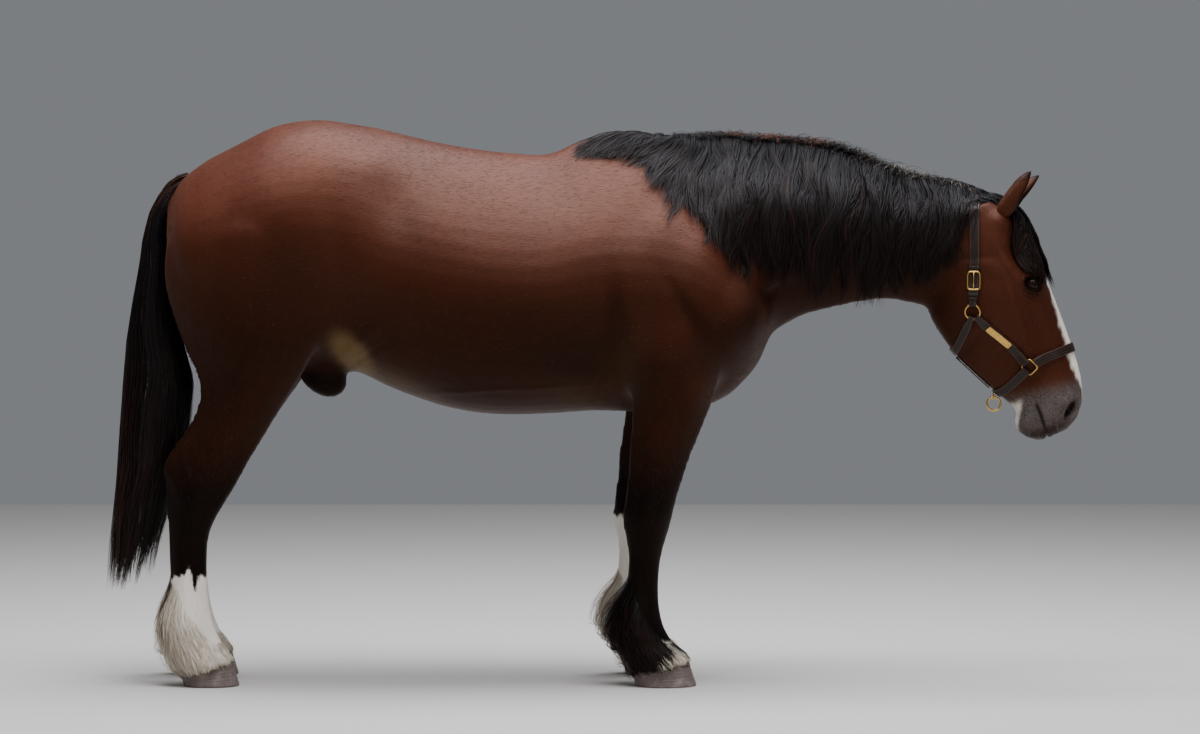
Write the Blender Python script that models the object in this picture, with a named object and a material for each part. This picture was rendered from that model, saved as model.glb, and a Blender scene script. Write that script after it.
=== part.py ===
"""A heavy draught horse standing square with its neck held forward and its head low.

The frame is metres, +Z up, +X towards the nose, with the horse's right side towards -Y and the
origin on the floor under the middle of its bounding box. The flesh is lofted between pairs of
rails, fused by a voxel remesh, swollen by its muscles, thinned and parted with thin cuts.
"""

import math
import random

import bmesh
import bpy
import numpy as np
from mathutils import Vector
from mathutils.bvhtree import BVHTree

FLAT_DEGREES = (2.4, 1.8, 1.2, 0.6, 0.0)  # the first that leaves a closed mesh is used
GAP = 0.0003  # between nodes that touch
STANCE = 0.175  # from the middle of the body to the middle of a leg
LEFT_FORE_BACK = 0.028  # how far each left leg stands behind the right one
LEFT_HIND_BACK = 0.035
BODY_TRIANGLES = 2610
HEAD_TRIANGLES = 1480
SHANK_TRIANGLES = 230

for old in list(bpy.data.objects):
    bpy.data.objects.remove(old)
rng = random.Random(7)


# Materials

def material(name, colour, roughness, metallic=0.0):
    made = bpy.data.materials.new(name)
    made.use_nodes = True
    shader = made.node_tree.nodes["Principled BSDF"]
    shader.inputs["Base Color"].default_value = (*colour, 1.0)
    shader.inputs["Roughness"].default_value = roughness
    shader.inputs["Metallic"].default_value = metallic
    made.diffuse_color = (*colour, 1.0)
    return made


BAY_COAT = material("bay_coat", (0.165, 0.052, 0.022), 0.55)
BLACK_HAIR = material("black_hair", (0.012, 0.011, 0.012), 0.5)
WHITE_HAIR = material("white_hair", (0.62, 0.56, 0.48), 0.7)
HOOF_HORN = material("hoof_horn", (0.17, 0.13, 0.11), 0.55)
DARK_EYE = material("dark_eye", (0.015, 0.008, 0.005), 0.08)
HALTER_LEATHER = material("halter_leather", (0.030, 0.017, 0.013), 0.45)
HALTER_BRASS = material("halter_brass", (0.72, 0.52, 0.22), 0.25, 1.0)


# Meshes

def mesh_object(name, points, faces, finish=None):
    mesh = bpy.data.meshes.new(name)
    mesh.from_pydata([tuple(p) for p in points], [], [tuple(f) for f in faces])
    mesh.validate()
    made = bpy.data.objects.new(name, mesh)
    bpy.context.scene.collection.objects.link(made)
    if finish:
        mesh.materials.append(finish)
    return made


def applied(thing):
    """Replaces an object's mesh by what its modifiers make of it."""
    graph = bpy.context.evaluated_depsgraph_get()
    mesh = bpy.data.meshes.new_from_object(thing.evaluated_get(graph))
    thing.modifiers.clear()
    thing.data = mesh
    return thing


def coordinates(mesh):
    points = np.empty(len(mesh.vertices) * 3)
    mesh.vertices.foreach_get("co", points)
    return points.reshape(-1, 3)


def set_coordinates(mesh, points):
    mesh.vertices.foreach_set("co", points.ravel())
    mesh.update()


def normals(mesh):
    found = np.empty(len(mesh.vertices) * 3)
    mesh.vertex_normals.foreach_get("vector", found)
    return found.reshape(-1, 3)


def spline(knots, values, at):
    """A cubic Hermite curve through the values, with slopes taken between neighbours."""
    knots, values = np.asarray(knots, float), np.asarray(values, float)
    slopes = np.gradient(values, knots, axis=0)
    i = np.clip(np.searchsorted(knots, at, side="right") - 1, 0, len(knots) - 2)
    span = (knots[i + 1] - knots[i])[:, None]
    t = (at - knots[i])[:, None] / span
    return (
        (2 * t**3 - 3 * t**2 + 1) * values[i]
        + (t**3 - 2 * t**2 + t) * span * slopes[i]
        + (3 * t**2 - 2 * t**3) * values[i + 1]
        + (t**3 - t**2) * span * slopes[i + 1]
    )


def grid_faces(rows, around):
    """Quads between neighbouring rings, with a cap on the first and the last."""
    faces = [
        (
            r * around + k,
            r * around + (k + 1) % around,
            (r + 1) * around + (k + 1) % around,
            (r + 1) * around + k,
        )
        for r in range(rows - 1)
        for k in range(around)
    ]
    faces.append(tuple(reversed(range(around))))
    faces.append(tuple((rows - 1) * around + k for k in range(around)))
    return faces


def loft(name, stations, step=0.02, around=32):
    """Rings from a first rail to a second one.

    Each station is first rail x and z, second rail x and z, middle y, then the half-widths near
    the first rail, halfway and near the second, and a power under 1 for fuller sides.
    """
    rows = np.array(stations, float)
    middle = (rows[:, 0:2] + rows[:, 2:4]) / 2
    along = np.concatenate([[0], np.cumsum(np.linalg.norm(np.diff(middle, axis=0), axis=1))])
    count = max(3, round(along[-1] / step))
    row = spline(along, rows, np.linspace(0, along[-1], count))
    angle = np.arange(around) * 2 * math.pi / around
    height = (1 - np.cos(angle)) / 2
    near, half, far = row[:, 5:6], row[:, 6:7], row[:, 7:8]
    h = (height - 0.5) / 0.35
    width = half + (far - near) / 2 * h + ((near + far) / 2 - half) * h * h
    width = np.maximum(width, 0.25 * half)
    side = np.sign(np.sin(angle)) * np.abs(np.sin(angle)) ** row[:, 8:9]
    points = np.empty((count, around, 3))
    points[:, :, 0] = row[:, 0:1] + (row[:, 2:3] - row[:, 0:1]) * height
    points[:, :, 1] = row[:, 4:5] + width * side
    points[:, :, 2] = row[:, 1:2] + (row[:, 3:4] - row[:, 1:2]) * height
    made = mesh_object(name, points.reshape(-1, 3), grid_faces(count, around))
    face_out(made)
    return made


def face_out(thing):
    work = bmesh.new()
    work.from_mesh(thing.data)
    bmesh.ops.recalc_face_normals(work, faces=work.faces)
    work.to_mesh(thing.data)
    work.free()


def fused(name, pieces, voxel):
    """One closed skin round overlapping closed pieces."""
    work = bmesh.new()
    for piece in pieces:
        work.from_mesh(piece.data)
    mesh = bpy.data.meshes.new(name)
    work.to_mesh(mesh)
    work.free()
    made = bpy.data.objects.new(name, mesh)
    bpy.context.scene.collection.objects.link(made)
    remesh = made.modifiers.new("skin", "REMESH")
    remesh.mode = "VOXEL"
    remesh.voxel_size = voxel
    return applied(made)


def neighbours_mean(mesh):
    """A function that gives the mean of each vertex's neighbours."""
    ends = np.empty(len(mesh.edges) * 2, int)
    mesh.edges.foreach_get("vertices", ends)
    ends = ends.reshape(-1, 2)
    count = np.bincount(ends.ravel(), minlength=len(mesh.vertices))[:, None]

    def mean(points):
        total = np.zeros_like(points)
        for axis in range(3):
            total[:, axis] = np.bincount(
                ends[:, 0], points[ends[:, 1], axis], len(points)
            ) + np.bincount(ends[:, 1], points[ends[:, 0], axis], len(points))
        return total / count

    return mean


def relaxed(thing, fillet_steps, smooth_steps):
    """Fills creases by moving only the hollow places out, then smooths without shrinking."""
    mean = neighbours_mean(thing.data)
    points = coordinates(thing.data)
    for _ in range(fillet_steps):
        out = normals(thing.data)
        rise = np.einsum("ij,ij->i", mean(points) - points, out)
        points = points + out * np.maximum(rise, 0)[:, None]
        set_coordinates(thing.data, points)
    for _ in range(smooth_steps):
        for share in (0.5, -0.53):
            points = points + share * (mean(points) - points)
    set_coordinates(thing.data, points)
    return thing


def thinned(thing, triangles):
    """Collapses edges until about this many triangles are left."""
    thing.data.calc_loop_triangles()
    decimate = thing.modifiers.new("thin", "DECIMATE")
    decimate.ratio = min(1.0, triangles / len(thing.data.loop_triangles))
    decimate.use_collapse_triangulate = True
    return applied(thing)


def cut(thing, cutter, operation):
    boolean = thing.modifiers.new("cut", "BOOLEAN")
    boolean.operation = operation
    boolean.object = cutter
    boolean.solver = "MANIFOLD"
    return applied(thing)


def joined(thing, pieces):
    """Fuses closed pieces into an object, and takes the pieces away."""
    group = bpy.data.collections.new("pieces")
    for piece in pieces:
        group.objects.link(piece)
    boolean = thing.modifiers.new("join", "BOOLEAN")
    boolean.operation = "UNION"
    boolean.operand_type = "COLLECTION"
    boolean.collection = group
    boolean.solver = "MANIFOLD"
    applied(thing)
    removed(*pieces)
    bpy.data.collections.remove(group)
    return largest(thing)


def largest(thing):
    """Keeps only the largest closed surface of an object."""
    work = bmesh.new()
    work.from_mesh(thing.data)
    left, islands = set(work.faces), []
    while left:
        seed = left.pop()
        island, front = {seed}, [seed]
        while front:
            for edge in front.pop().edges:
                for face in edge.link_faces:
                    if face in left:
                        left.discard(face)
                        island.add(face)
                        front.append(face)
        islands.append(island)
    kept = max(islands, key=lambda group: sum(face.calc_area() for face in group))
    spare = [face for group in islands if group is not kept for face in group]
    bmesh.ops.delete(work, geom=spare, context="FACES")
    for degrees in FLAT_DEGREES:
        flat = work.copy()
        if degrees:
            bmesh.ops.dissolve_limit(
                flat, angle_limit=math.radians(degrees), verts=flat.verts, edges=flat.edges
            )
        bmesh.ops.triangulate(flat, faces=flat.faces)
        flat.to_mesh(thing.data)
        closed = all(edge.is_manifold for edge in flat.edges)
        flat.free()
        if closed:
            break
    work.free()
    return thing


def copied(thing, name, finish):
    made = bpy.data.objects.new(name, thing.data.copy())
    bpy.context.scene.collection.objects.link(made)
    made.data.materials.clear()
    made.data.materials.append(finish)
    return made


def removed(*things):
    for thing in things:
        bpy.data.objects.remove(thing)


# Rails of the trunk, neck and head, from the rump forward

TRUNK = [
    # top x, z, bottom x, z, middle, half-widths at top, middle and bottom, fullness
    (-1.315, 1.490, -1.300, 1.200, 0, 0.10, 0.14, 0.10, 1.0),
    (-1.280, 1.548, -1.260, 1.090, 0, 0.19, 0.23, 0.17, 0.95),
    (-1.221, 1.598, -1.190, 1.010, 0, 0.25, 0.285, 0.22, 0.95),
    (-1.097, 1.665, -1.080, 0.965, 0, 0.30, 0.325, 0.26, 0.9),
    (-0.973, 1.722, -0.970, 0.965, 0, 0.33, 0.340, 0.27, 0.85),
    (-0.850, 1.740, -0.860, 0.975, 0, 0.335, 0.340, 0.275, 0.85),
    (-0.740, 1.728, -0.760, 0.965, 0, 0.320, 0.335, 0.290, 0.9),
    (-0.601, 1.697, -0.610, 0.900, 0, 0.295, 0.342, 0.320, 0.95),
    (-0.440, 1.661, -0.450, 0.846, 0, 0.285, 0.358, 0.345, 1.0),
    (-0.250, 1.636, -0.280, 0.823, 0, 0.275, 0.366, 0.350, 1.0),
    (-0.136, 1.634, -0.130, 0.826, 0, 0.250, 0.360, 0.335, 1.0),
    (-0.020, 1.682, 0.010, 0.835, 0, 0.200, 0.343, 0.310, 1.0),
    (0.090, 1.700, 0.130, 0.832, 0, 0.165, 0.325, 0.280, 0.95),
    (0.230, 1.660, 0.270, 0.838, 0, 0.170, 0.305, 0.260, 0.9),
    (0.340, 1.560, 0.380, 0.862, 0, 0.170, 0.288, 0.240, 0.85),
    (0.430, 1.430, 0.460, 0.915, 0, 0.160, 0.258, 0.210, 0.85),
    (0.500, 1.300, 0.520, 0.990, 0, 0.130, 0.205, 0.160, 0.9),
    (0.548, 1.200, 0.555, 1.070, 0, 0.070, 0.110, 0.080, 1.0),
]
NECK = [
    (0.080, 1.690, 0.330, 0.960, 0, 0.080, 0.200, 0.190, 1.0),
    (0.267, 1.688, 0.545, 1.060, 0, 0.070, 0.190, 0.175, 1.0),
    (0.420, 1.692, 0.640, 1.125, 0, 0.062, 0.165, 0.140, 0.95),
    (0.577, 1.683, 0.730, 1.152, 0, 0.055, 0.145, 0.115, 0.95),
    (0.701, 1.672, 0.810, 1.169, 0, 0.050, 0.132, 0.105, 0.95),
    (0.800, 1.646, 0.875, 1.179, 0, 0.047, 0.122, 0.100, 0.95),
    (0.910, 1.602, 0.925, 1.180, 0, 0.046, 0.112, 0.097, 0.95),
    (1.010, 1.570, 0.975, 1.172, 0, 0.050, 0.104, 0.092, 0.95),
    (1.110, 1.546, 1.030, 1.160, 0, 0.058, 0.100, 0.088, 0.9),
    (1.200, 1.516, 1.120, 1.150, 0, 0.062, 0.098, 0.082, 0.9),
    (1.265, 1.480, 1.220, 1.180, 0, 0.055, 0.090, 0.070, 0.9),
]

# The head has its own frame: distance down the face from the poll, and height over it
POLL = (1.259, 1.498)
FACE = (0.347, -0.938)
HEAD = [
    # down the face, top and bottom heights, half-widths at top, middle and bottom, fullness
    (0.000, -0.010, -0.200, 0.070, 0.085, 0.070, 0.9),
    (0.060, 0.032, -0.262, 0.090, 0.098, 0.085, 0.85),
    (0.130, 0.045, -0.300, 0.105, 0.104, 0.090, 0.8),
    (0.210, 0.048, -0.322, 0.120, 0.108, 0.088, 0.75),
    (0.285, 0.050, -0.330, 0.125, 0.108, 0.085, 0.75),
    (0.350, 0.053, -0.321, 0.104, 0.100, 0.078, 0.75),
    (0.420, 0.054, -0.294, 0.080, 0.086, 0.068, 0.75),
    (0.490, 0.054, -0.260, 0.068, 0.073, 0.060, 0.75),
    (0.555, 0.052, -0.226, 0.060, 0.066, 0.055, 0.8),
    (0.605, 0.047, -0.197, 0.060, 0.066, 0.055, 0.8),
    (0.640, 0.039, -0.182, 0.062, 0.070, 0.055, 0.8),
    (0.670, 0.029, -0.196, 0.063, 0.072, 0.056, 0.85),
    (0.695, 0.016, -0.199, 0.060, 0.070, 0.055, 0.9),
    (0.718, -0.002, -0.187, 0.054, 0.064, 0.050, 0.95),
    (0.738, -0.028, -0.168, 0.044, 0.052, 0.042, 1.0),
    (0.750, -0.055, -0.145, 0.028, 0.034, 0.028, 1.0),
]


def from_head(down, over):
    """The x and z of a place on the head."""
    return (
        POLL[0] + down * FACE[0] - over * FACE[1],
        POLL[1] + down * FACE[1] + over * FACE[0],
    )


def to_head(points):
    """How far down the face, and how high over it, each point is."""
    dx, dz = points[:, 0] - POLL[0], points[:, 2] - POLL[1]
    return dx * FACE[0] + dz * FACE[1], -dx * FACE[1] + dz * FACE[0]


HEAD_RAILS = [
    (*from_head(s, top), *from_head(s, low), 0, near, half, far, full)
    for s, top, low, near, half, far, full in HEAD
]

# Rails of the right legs, front then back, from the top down
FORELEG = [
    (0.440, 1.230, 0.110, 1.230, -0.165, 0.100, 0.130, 0.110, 1.0),
    (0.432, 1.080, 0.100, 1.060, -0.172, 0.090, 0.126, 0.105, 0.95),
    (0.395, 0.980, 0.103, 0.950, -0.178, 0.080, 0.112, 0.090, 0.95),
    (0.371, 0.890, 0.117, 0.880, -0.178, 0.066, 0.094, 0.070, 0.95),
    (0.345, 0.814, 0.116, 0.814, -0.176, 0.058, 0.082, 0.058, 0.95),
    (0.321, 0.753, 0.113, 0.753, -0.175, 0.052, 0.073, 0.050, 0.95),
    (0.296, 0.692, 0.107, 0.692, -0.175, 0.048, 0.066, 0.044, 0.95),
    (0.276, 0.631, 0.104, 0.631, -0.175, 0.047, 0.060, 0.040, 0.9),
    (0.261, 0.585, 0.098, 0.585, -0.175, 0.050, 0.060, 0.038, 0.85),
    (0.248, 0.535, 0.091, 0.535, -0.175, 0.056, 0.064, 0.036, 0.8),
    (0.237, 0.490, 0.090, 0.492, -0.175, 0.055, 0.062, 0.036, 0.8),
    (0.224, 0.448, 0.100, 0.448, -0.175, 0.046, 0.053, 0.036, 0.85),
    (0.212, 0.402, 0.107, 0.402, -0.175, 0.038, 0.044, 0.034, 0.9),
    (0.204, 0.341, 0.105, 0.341, -0.175, 0.036, 0.042, 0.034, 0.9),
    (0.202, 0.280, 0.097, 0.280, -0.175, 0.038, 0.044, 0.036, 0.9),
    (0.207, 0.228, 0.078, 0.222, -0.175, 0.046, 0.055, 0.044, 0.9),
    (0.217, 0.186, 0.073, 0.172, -0.175, 0.050, 0.059, 0.048, 0.9),
    (0.238, 0.146, 0.098, 0.120, -0.175, 0.048, 0.055, 0.046, 0.9),
    (0.268, 0.105, 0.138, 0.060, -0.175, 0.052, 0.062, 0.054, 0.9),
    (0.296, 0.070, 0.155, 0.020, -0.175, 0.062, 0.076, 0.066, 0.85),
    (0.305, 0.040, 0.170, 0.000, -0.175, 0.060, 0.074, 0.066, 0.85),
]
HINDLEG = [
    (-0.770, 1.500, -1.230, 1.480, -0.160, 0.130, 0.165, 0.110, 0.95),
    (-0.762, 1.400, -1.290, 1.390, -0.165, 0.145, 0.176, 0.120, 0.9),
    (-0.778, 1.290, -1.311, 1.290, -0.167, 0.140, 0.172, 0.120, 0.9),
    (-0.792, 1.180, -1.303, 1.205, -0.168, 0.128, 0.160, 0.108, 0.9),
    (-0.814, 1.085, -1.276, 1.110, -0.170, 0.112, 0.146, 0.096, 0.9),
    (-0.850, 1.020, -1.242, 1.018, -0.172, 0.096, 0.130, 0.082, 0.9),
    (-0.888, 0.952, -1.212, 0.955, -0.175, 0.080, 0.112, 0.070, 0.9),
    (-0.928, 0.887, -1.203, 0.888, -0.178, 0.070, 0.096, 0.058, 0.9),
    (-0.974, 0.814, -1.222, 0.826, -0.179, 0.062, 0.082, 0.046, 0.9),
    (-1.020, 0.738, -1.256, 0.768, -0.179, 0.056, 0.072, 0.038, 0.9),
    (-1.059, 0.672, -1.294, 0.716, -0.178, 0.054, 0.066, 0.034, 0.85),
    (-1.090, 0.616, -1.314, 0.672, -0.177, 0.056, 0.065, 0.032, 0.8),
    (-1.122, 0.563, -1.311, 0.612, -0.176, 0.055, 0.063, 0.033, 0.8),
    (-1.154, 0.508, -1.305, 0.540, -0.175, 0.049, 0.057, 0.036, 0.85),
    (-1.174, 0.454, -1.300, 0.468, -0.175, 0.042, 0.049, 0.037, 0.9),
    (-1.179, 0.387, -1.298, 0.393, -0.175, 0.040, 0.046, 0.037, 0.9),
    (-1.178, 0.312, -1.296, 0.312, -0.175, 0.041, 0.047, 0.038, 0.9),
    (-1.172, 0.248, -1.307, 0.240, -0.175, 0.047, 0.055, 0.043, 0.9),
    (-1.162, 0.200, -1.316, 0.180, -0.175, 0.052, 0.061, 0.048, 0.9),
    (-1.143, 0.150, -1.290, 0.115, -0.175, 0.049, 0.056, 0.046, 0.9),
    (-1.117, 0.105, -1.262, 0.055, -0.175, 0.056, 0.066, 0.056, 0.9),
    (-1.100, 0.072, -1.254, 0.020, -0.175, 0.066, 0.080, 0.070, 0.85),
    (-1.095, 0.040, -1.250, 0.000, -0.175, 0.066, 0.078, 0.070, 0.85),
]


def left_leg(stations, back):
    """A right leg's rails mirrored, and set back below the body."""
    made = []
    for fx, fz, bx, bz, y, *rest in stations:
        share = min(1.0, max(0.0, (1.05 - fz) / 0.35))
        made.append((fx - back * share, fz, bx - back * share, bz, -y, *rest))
    return made


LEGS = {
    "fore_right": FORELEG,
    "fore_left": left_leg(FORELEG, LEFT_FORE_BACK),
    "hind_right": HINDLEG,
    "hind_left": left_leg(HINDLEG, LEFT_HIND_BACK),
}

# Muscles, hollows and grooves of both sides, as ovals in the side view
MUSCLES = [
    # x, z, long radius, short radius, degrees from level, height
    (0.250, 1.060, 0.130, 0.090, 60, 0.016),  # triceps
    (0.445, 1.100, 0.090, 0.060, 70, 0.014),  # point of the shoulder
    (0.330, 1.330, 0.220, 0.060, 60, 0.008),  # shoulder blade
    (0.375, 1.230, 0.180, 0.022, 52, -0.010),  # in front of the triceps
    (0.470, 1.330, 0.200, 0.030, 62, -0.012),  # between the shoulder and the neck
    (0.060, 1.050, 0.170, 0.028, 84, -0.012),  # behind the triceps
    (0.180, 1.480, 0.120, 0.060, 55, -0.008),  # under the withers
    (0.330, 0.900, 0.080, 0.040, 75, 0.008),  # forearm
    (-0.668, 1.600, 0.045, 0.035, 0, 0.014),  # point of the hip
    (-0.600, 1.470, 0.100, 0.060, 100, -0.014),  # hollow of the flank
    (-0.760, 1.230, 0.190, 0.030, 96, -0.014),  # in front of the thigh
    (-0.850, 1.110, 0.100, 0.070, 60, 0.012),  # stifle
    (-1.000, 1.450, 0.200, 0.110, 160, 0.010),  # rump
    (-1.160, 1.200, 0.200, 0.026, 75, -0.006),  # along the hamstring
    (-1.220, 1.250, 0.180, 0.060, 80, 0.008),  # hamstring
    (-1.000, 0.860, 0.140, 0.050, 62, 0.006),  # gaskin
    (0.700, 1.420, 0.250, 0.080, 155, 0.008),  # top of the neck
    (0.780, 1.260, 0.300, 0.028, 14, -0.008),  # groove over the throat
    (-0.250, 1.180, 0.400, 0.200, 0, 0.006),  # barrel
]
HEAD_FORMS = [
    # down the face, over it, long and short radius, degrees, height
    (0.290, -0.200, 0.105, 0.085, 80, 0.010),  # cheek
    (0.262, 0.004, 0.050, 0.030, 0, 0.012),  # brow
    (0.190, -0.010, 0.036, 0.026, 0, -0.007),  # hollow over the eye
    (0.420, -0.082, 0.110, 0.013, -14, 0.008),  # ridge of the cheekbone
    (0.430, -0.026, 0.110, 0.024, -6, -0.006),  # over the ridge
    (0.470, -0.150, 0.080, 0.034, 20, -0.006),  # between the jaw and the mouth
    (0.655, -0.006, 0.045, 0.032, -20, 0.009),  # wing of the nostril
    (0.610, -0.075, 0.040, 0.030, 0, 0.005),  # side of the muzzle
    (0.120, -0.060, 0.060, 0.040, 90, 0.006),  # below the ear
]
EYE = (0.285, -0.006, 0.092)  # down the face, over it, and out from the middle
EYE_RADIUS = 0.021
EYE_TILT = -14
NOSTRIL = (0.688, -0.014)
MOUTH_FROM, MOUTH_OVER = 0.632, -0.122


def oval(du, dv, long, short, degrees):
    """A bump of height 1 that fades over an oval turned by some degrees."""
    c, s = math.cos(math.radians(degrees)), math.sin(math.radians(degrees))
    along, across = du * c + dv * s, dv * c - du * s
    return np.exp(-((along / long) ** 2) - (across / short) ** 2)


def ramp(value, low, high):
    t = np.clip((value - low) / (high - low), 0, 1)
    return t * t * (3 - 2 * t)


def muscled(thing):
    """Raises the muscles of both sides along the skin's own normals."""
    points, out = coordinates(thing.data), normals(thing.data)
    rise = np.zeros(len(points))
    for x, z, long, short, degrees, height in MUSCLES:
        rise += height * oval(points[:, 0] - x, points[:, 2] - z, long, short, degrees)
    rise *= np.sqrt(np.abs(out[:, 1]))
    croup = np.exp(-((points[:, 1] / 0.03) ** 2)) * (points[:, 2] > 1.5)
    rise -= 0.012 * croup * ramp(-points[:, 0], 0.66, 0.80)
    chest = np.exp(-((points[:, 1] / 0.025) ** 2)) * ramp(points[:, 0], 0.42, 0.50)
    rise -= 0.014 * chest * ramp(-points[:, 2], -1.14, -1.04)
    set_coordinates(thing.data, points + out * rise[:, None])
    return thing


def featured(thing):
    """Raises the forms of the head and sinks the eye sockets, nostrils and mouth."""
    points, out = coordinates(thing.data), normals(thing.data)
    down, over = to_head(points)
    side = np.sqrt(np.abs(out[:, 1]))
    rise = np.zeros(len(points))
    for s, h, long, short, degrees, height in HEAD_FORMS:
        rise += height * oval(down - s, over - h, long, short, degrees)
    rise *= side
    lid = oval(down - EYE[0], over - EYE[1], 0.036, 0.025, EYE_TILT)
    opening = oval(down - EYE[0], over - EYE[1], 0.019, 0.0115, EYE_TILT)
    rise += side * (0.009 * lid - 0.022 * opening)
    nostril = oval(down - NOSTRIL[0], over - NOSTRIL[1], 0.024, 0.010, -38)
    rise -= 0.020 * nostril * side
    mouth = np.exp(-(((over - MOUTH_OVER) / 0.0055) ** 2))
    rise -= 0.009 * mouth * ramp(down, MOUTH_FROM - 0.004, MOUTH_FROM + 0.012)
    set_coordinates(thing.data, points + out * rise[:, None])
    return thing


def sliced(thing, place, facing):
    """Cuts a closed mesh with a plane, keeps the side away from its facing, and caps it."""
    work = bmesh.new()
    work.from_mesh(thing.data)
    bmesh.ops.bisect_plane(
        work,
        geom=work.verts[:] + work.edges[:] + work.faces[:],
        dist=1e-7,
        plane_co=place,
        plane_no=facing,
        clear_outer=True,
    )
    rim = [edge for edge in work.edges if edge.is_boundary]
    bmesh.ops.triangle_fill(work, use_beauty=True, use_dissolve=False, edges=rim, normal=facing)
    bmesh.ops.recalc_face_normals(work, faces=work.faces)
    work.to_mesh(thing.data)
    work.free()
    return thing


def swollen(thing, by):
    """A copy that lies a little outside a mesh."""
    made = copied(thing, "swollen", BAY_COAT)
    set_coordinates(made.data, coordinates(made.data) + by * normals(made.data))
    made.hide_render = True
    made.display_type = "WIRE"
    return made


def is_closed(mesh):
    """Whether every edge has exactly two faces."""
    sides = np.empty(len(mesh.loops), int)
    mesh.loops.foreach_get("edge_index", sides)
    return bool(np.all(np.bincount(sides, minlength=len(mesh.edges)) == 2))


def cleared(thing, *others, by=0.0005):
    """Cuts an object clear of its neighbours, a little wider where the cut doesn't close."""
    whole = thing.data.copy()
    for tries in range(6):
        thing.data = whole.copy()
        for other in others:
            cutter = swollen(other, by * (1 + 0.13 * tries))
            cut(thing, cutter, "DIFFERENCE")
            removed(cutter)
        largest(thing)
        if is_closed(thing.data):
            break
    return thing


def ball(name, centre, radii, tilt=0.0, around=20, rows=12):
    """An egg of three radii, turned by some degrees in the side view."""
    c, s = math.cos(math.radians(tilt)), math.sin(math.radians(tilt))
    points, faces = [], []
    for r in range(1, rows):
        lat = math.pi * r / rows - math.pi / 2
        for k in range(around):
            lon = 2 * math.pi * k / around
            points.append((math.cos(lat) * math.cos(lon), math.sin(lat), math.cos(lat) * math.sin(lon)))
    points += [(0, -1, 0), (0, 1, 0)]
    last = (rows - 2) * around
    for k in range(around):
        m = (k + 1) % around
        faces.append((len(points) - 2, k, m))
        faces.append((len(points) - 1, last + m, last + k))
        for r in range(rows - 2):
            low = r * around
            faces.append((low + k, low + around + k, low + around + m, low + m))
    placed = []
    for x, y, z in points:
        x, y, z = x * radii[0], y * radii[1], z * radii[2]
        placed.append((centre[0] + x * c - z * s, centre[1] + y, centre[2] + x * s + z * c))
    made = mesh_object(name, placed, faces)
    face_out(made)
    return made


def tree_of(thing):
    return BVHTree.FromPolygons(
        [v.co.copy() for v in thing.data.vertices], [tuple(p.vertices) for p in thing.data.polygons]
    )


def smooth_path(places, count):
    places = np.array(places, float)
    run = np.concatenate([[0], np.cumsum(np.linalg.norm(np.diff(places, axis=0), axis=1))])
    return spline(run, places, np.linspace(0, run[-1], count))


def lock(places, facings, width, thick, rows=6):
    """A flat lock of hair along a path: lens-shaped rings that taper to a tip."""
    path = smooth_path(places, rows + 1)
    given = np.array(facings, float)
    at = np.linspace(0, len(given) - 1, rows + 1)
    faced = np.column_stack([np.interp(at, range(len(given)), given[:, k]) for k in range(3)])
    points = []
    for r in range(rows):
        t = r / rows
        way = Vector(path[min(r + 1, rows)] - path[max(r - 1, 0)]).normalized()
        out = Vector(faced[r])
        out = (out - way * out.dot(way)).normalized()
        across = way.cross(out)
        wide = width / 2 * (0.36 + 1.9 * t - 0.9 * t * t - 1.3 * t**3)
        deep = thick / 2 * (1 - 0.6 * t)
        here = Vector(path[r])
        points += [here + across * wide, here + out * deep, here - across * wide, here - out * deep]
    points.append(Vector(path[rows]))
    faces = grid_faces(rows, 4)[:-1]
    last = (rows - 1) * 4
    faces += [(last + k, last + (k + 1) % 4, len(points) - 1) for k in range(4)]
    made = mesh_object("lock", points, faces)
    face_out(made)
    return made


# Where the body is parted: a place, and a facing that leads away from the head

NECK_TORSO = ((0.300, 0, 1.360), (-0.750, 0, -0.662))
HEAD_NECK = ((1.068, 0, 1.390), (-0.941, 0, 0.338))
FORELEG_TOP, KNEE_BOTTOM = 0.800, 0.440
HINDLEG_TOP, HOCK_BOTTOM = 0.860, 0.490


def ahead(thing, parting):
    """Keeps what lies on the head's side of a parting, half a gap short of it."""
    place, facing = Vector(parting[0]), Vector(parting[1]).normalized()
    return sliced(thing, place - facing * GAP / 2, facing)


def behind(thing, parting):
    place, facing = Vector(parting[0]), Vector(parting[1]).normalized()
    return sliced(thing, place + facing * GAP / 2, -facing)


def above(thing, height):
    return sliced(thing, (0, 0, height + GAP / 2), (0, 0, -1))


def below(thing, height):
    return sliced(thing, (0, 0, height - GAP / 2), (0, 0, 1))


# Trunk, neck and the tops of the legs

trunk = loft("trunk", TRUNK)
neck_core = loft("neck_core", NECK)
head_core = loft("head_core", HEAD_RAILS, 0.012, 40)
leg_cores = {name: loft(name, rails, 0.018, 24) for name, rails in LEGS.items()}
sheath = ball("sheath", (-0.838, 0, 0.948), (0.085, 0.050, 0.062), -38)
body = fused("body", [trunk, neck_core, head_core, sheath, *leg_cores.values()], 0.013)
muscled(relaxed(body, 14, 6))
above(body, KNEE_BOTTOM - 0.05)
sliced(body, (1.20, 0, 0), (1, 0, 0))
thinned(body, BODY_TRIANGLES)

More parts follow.
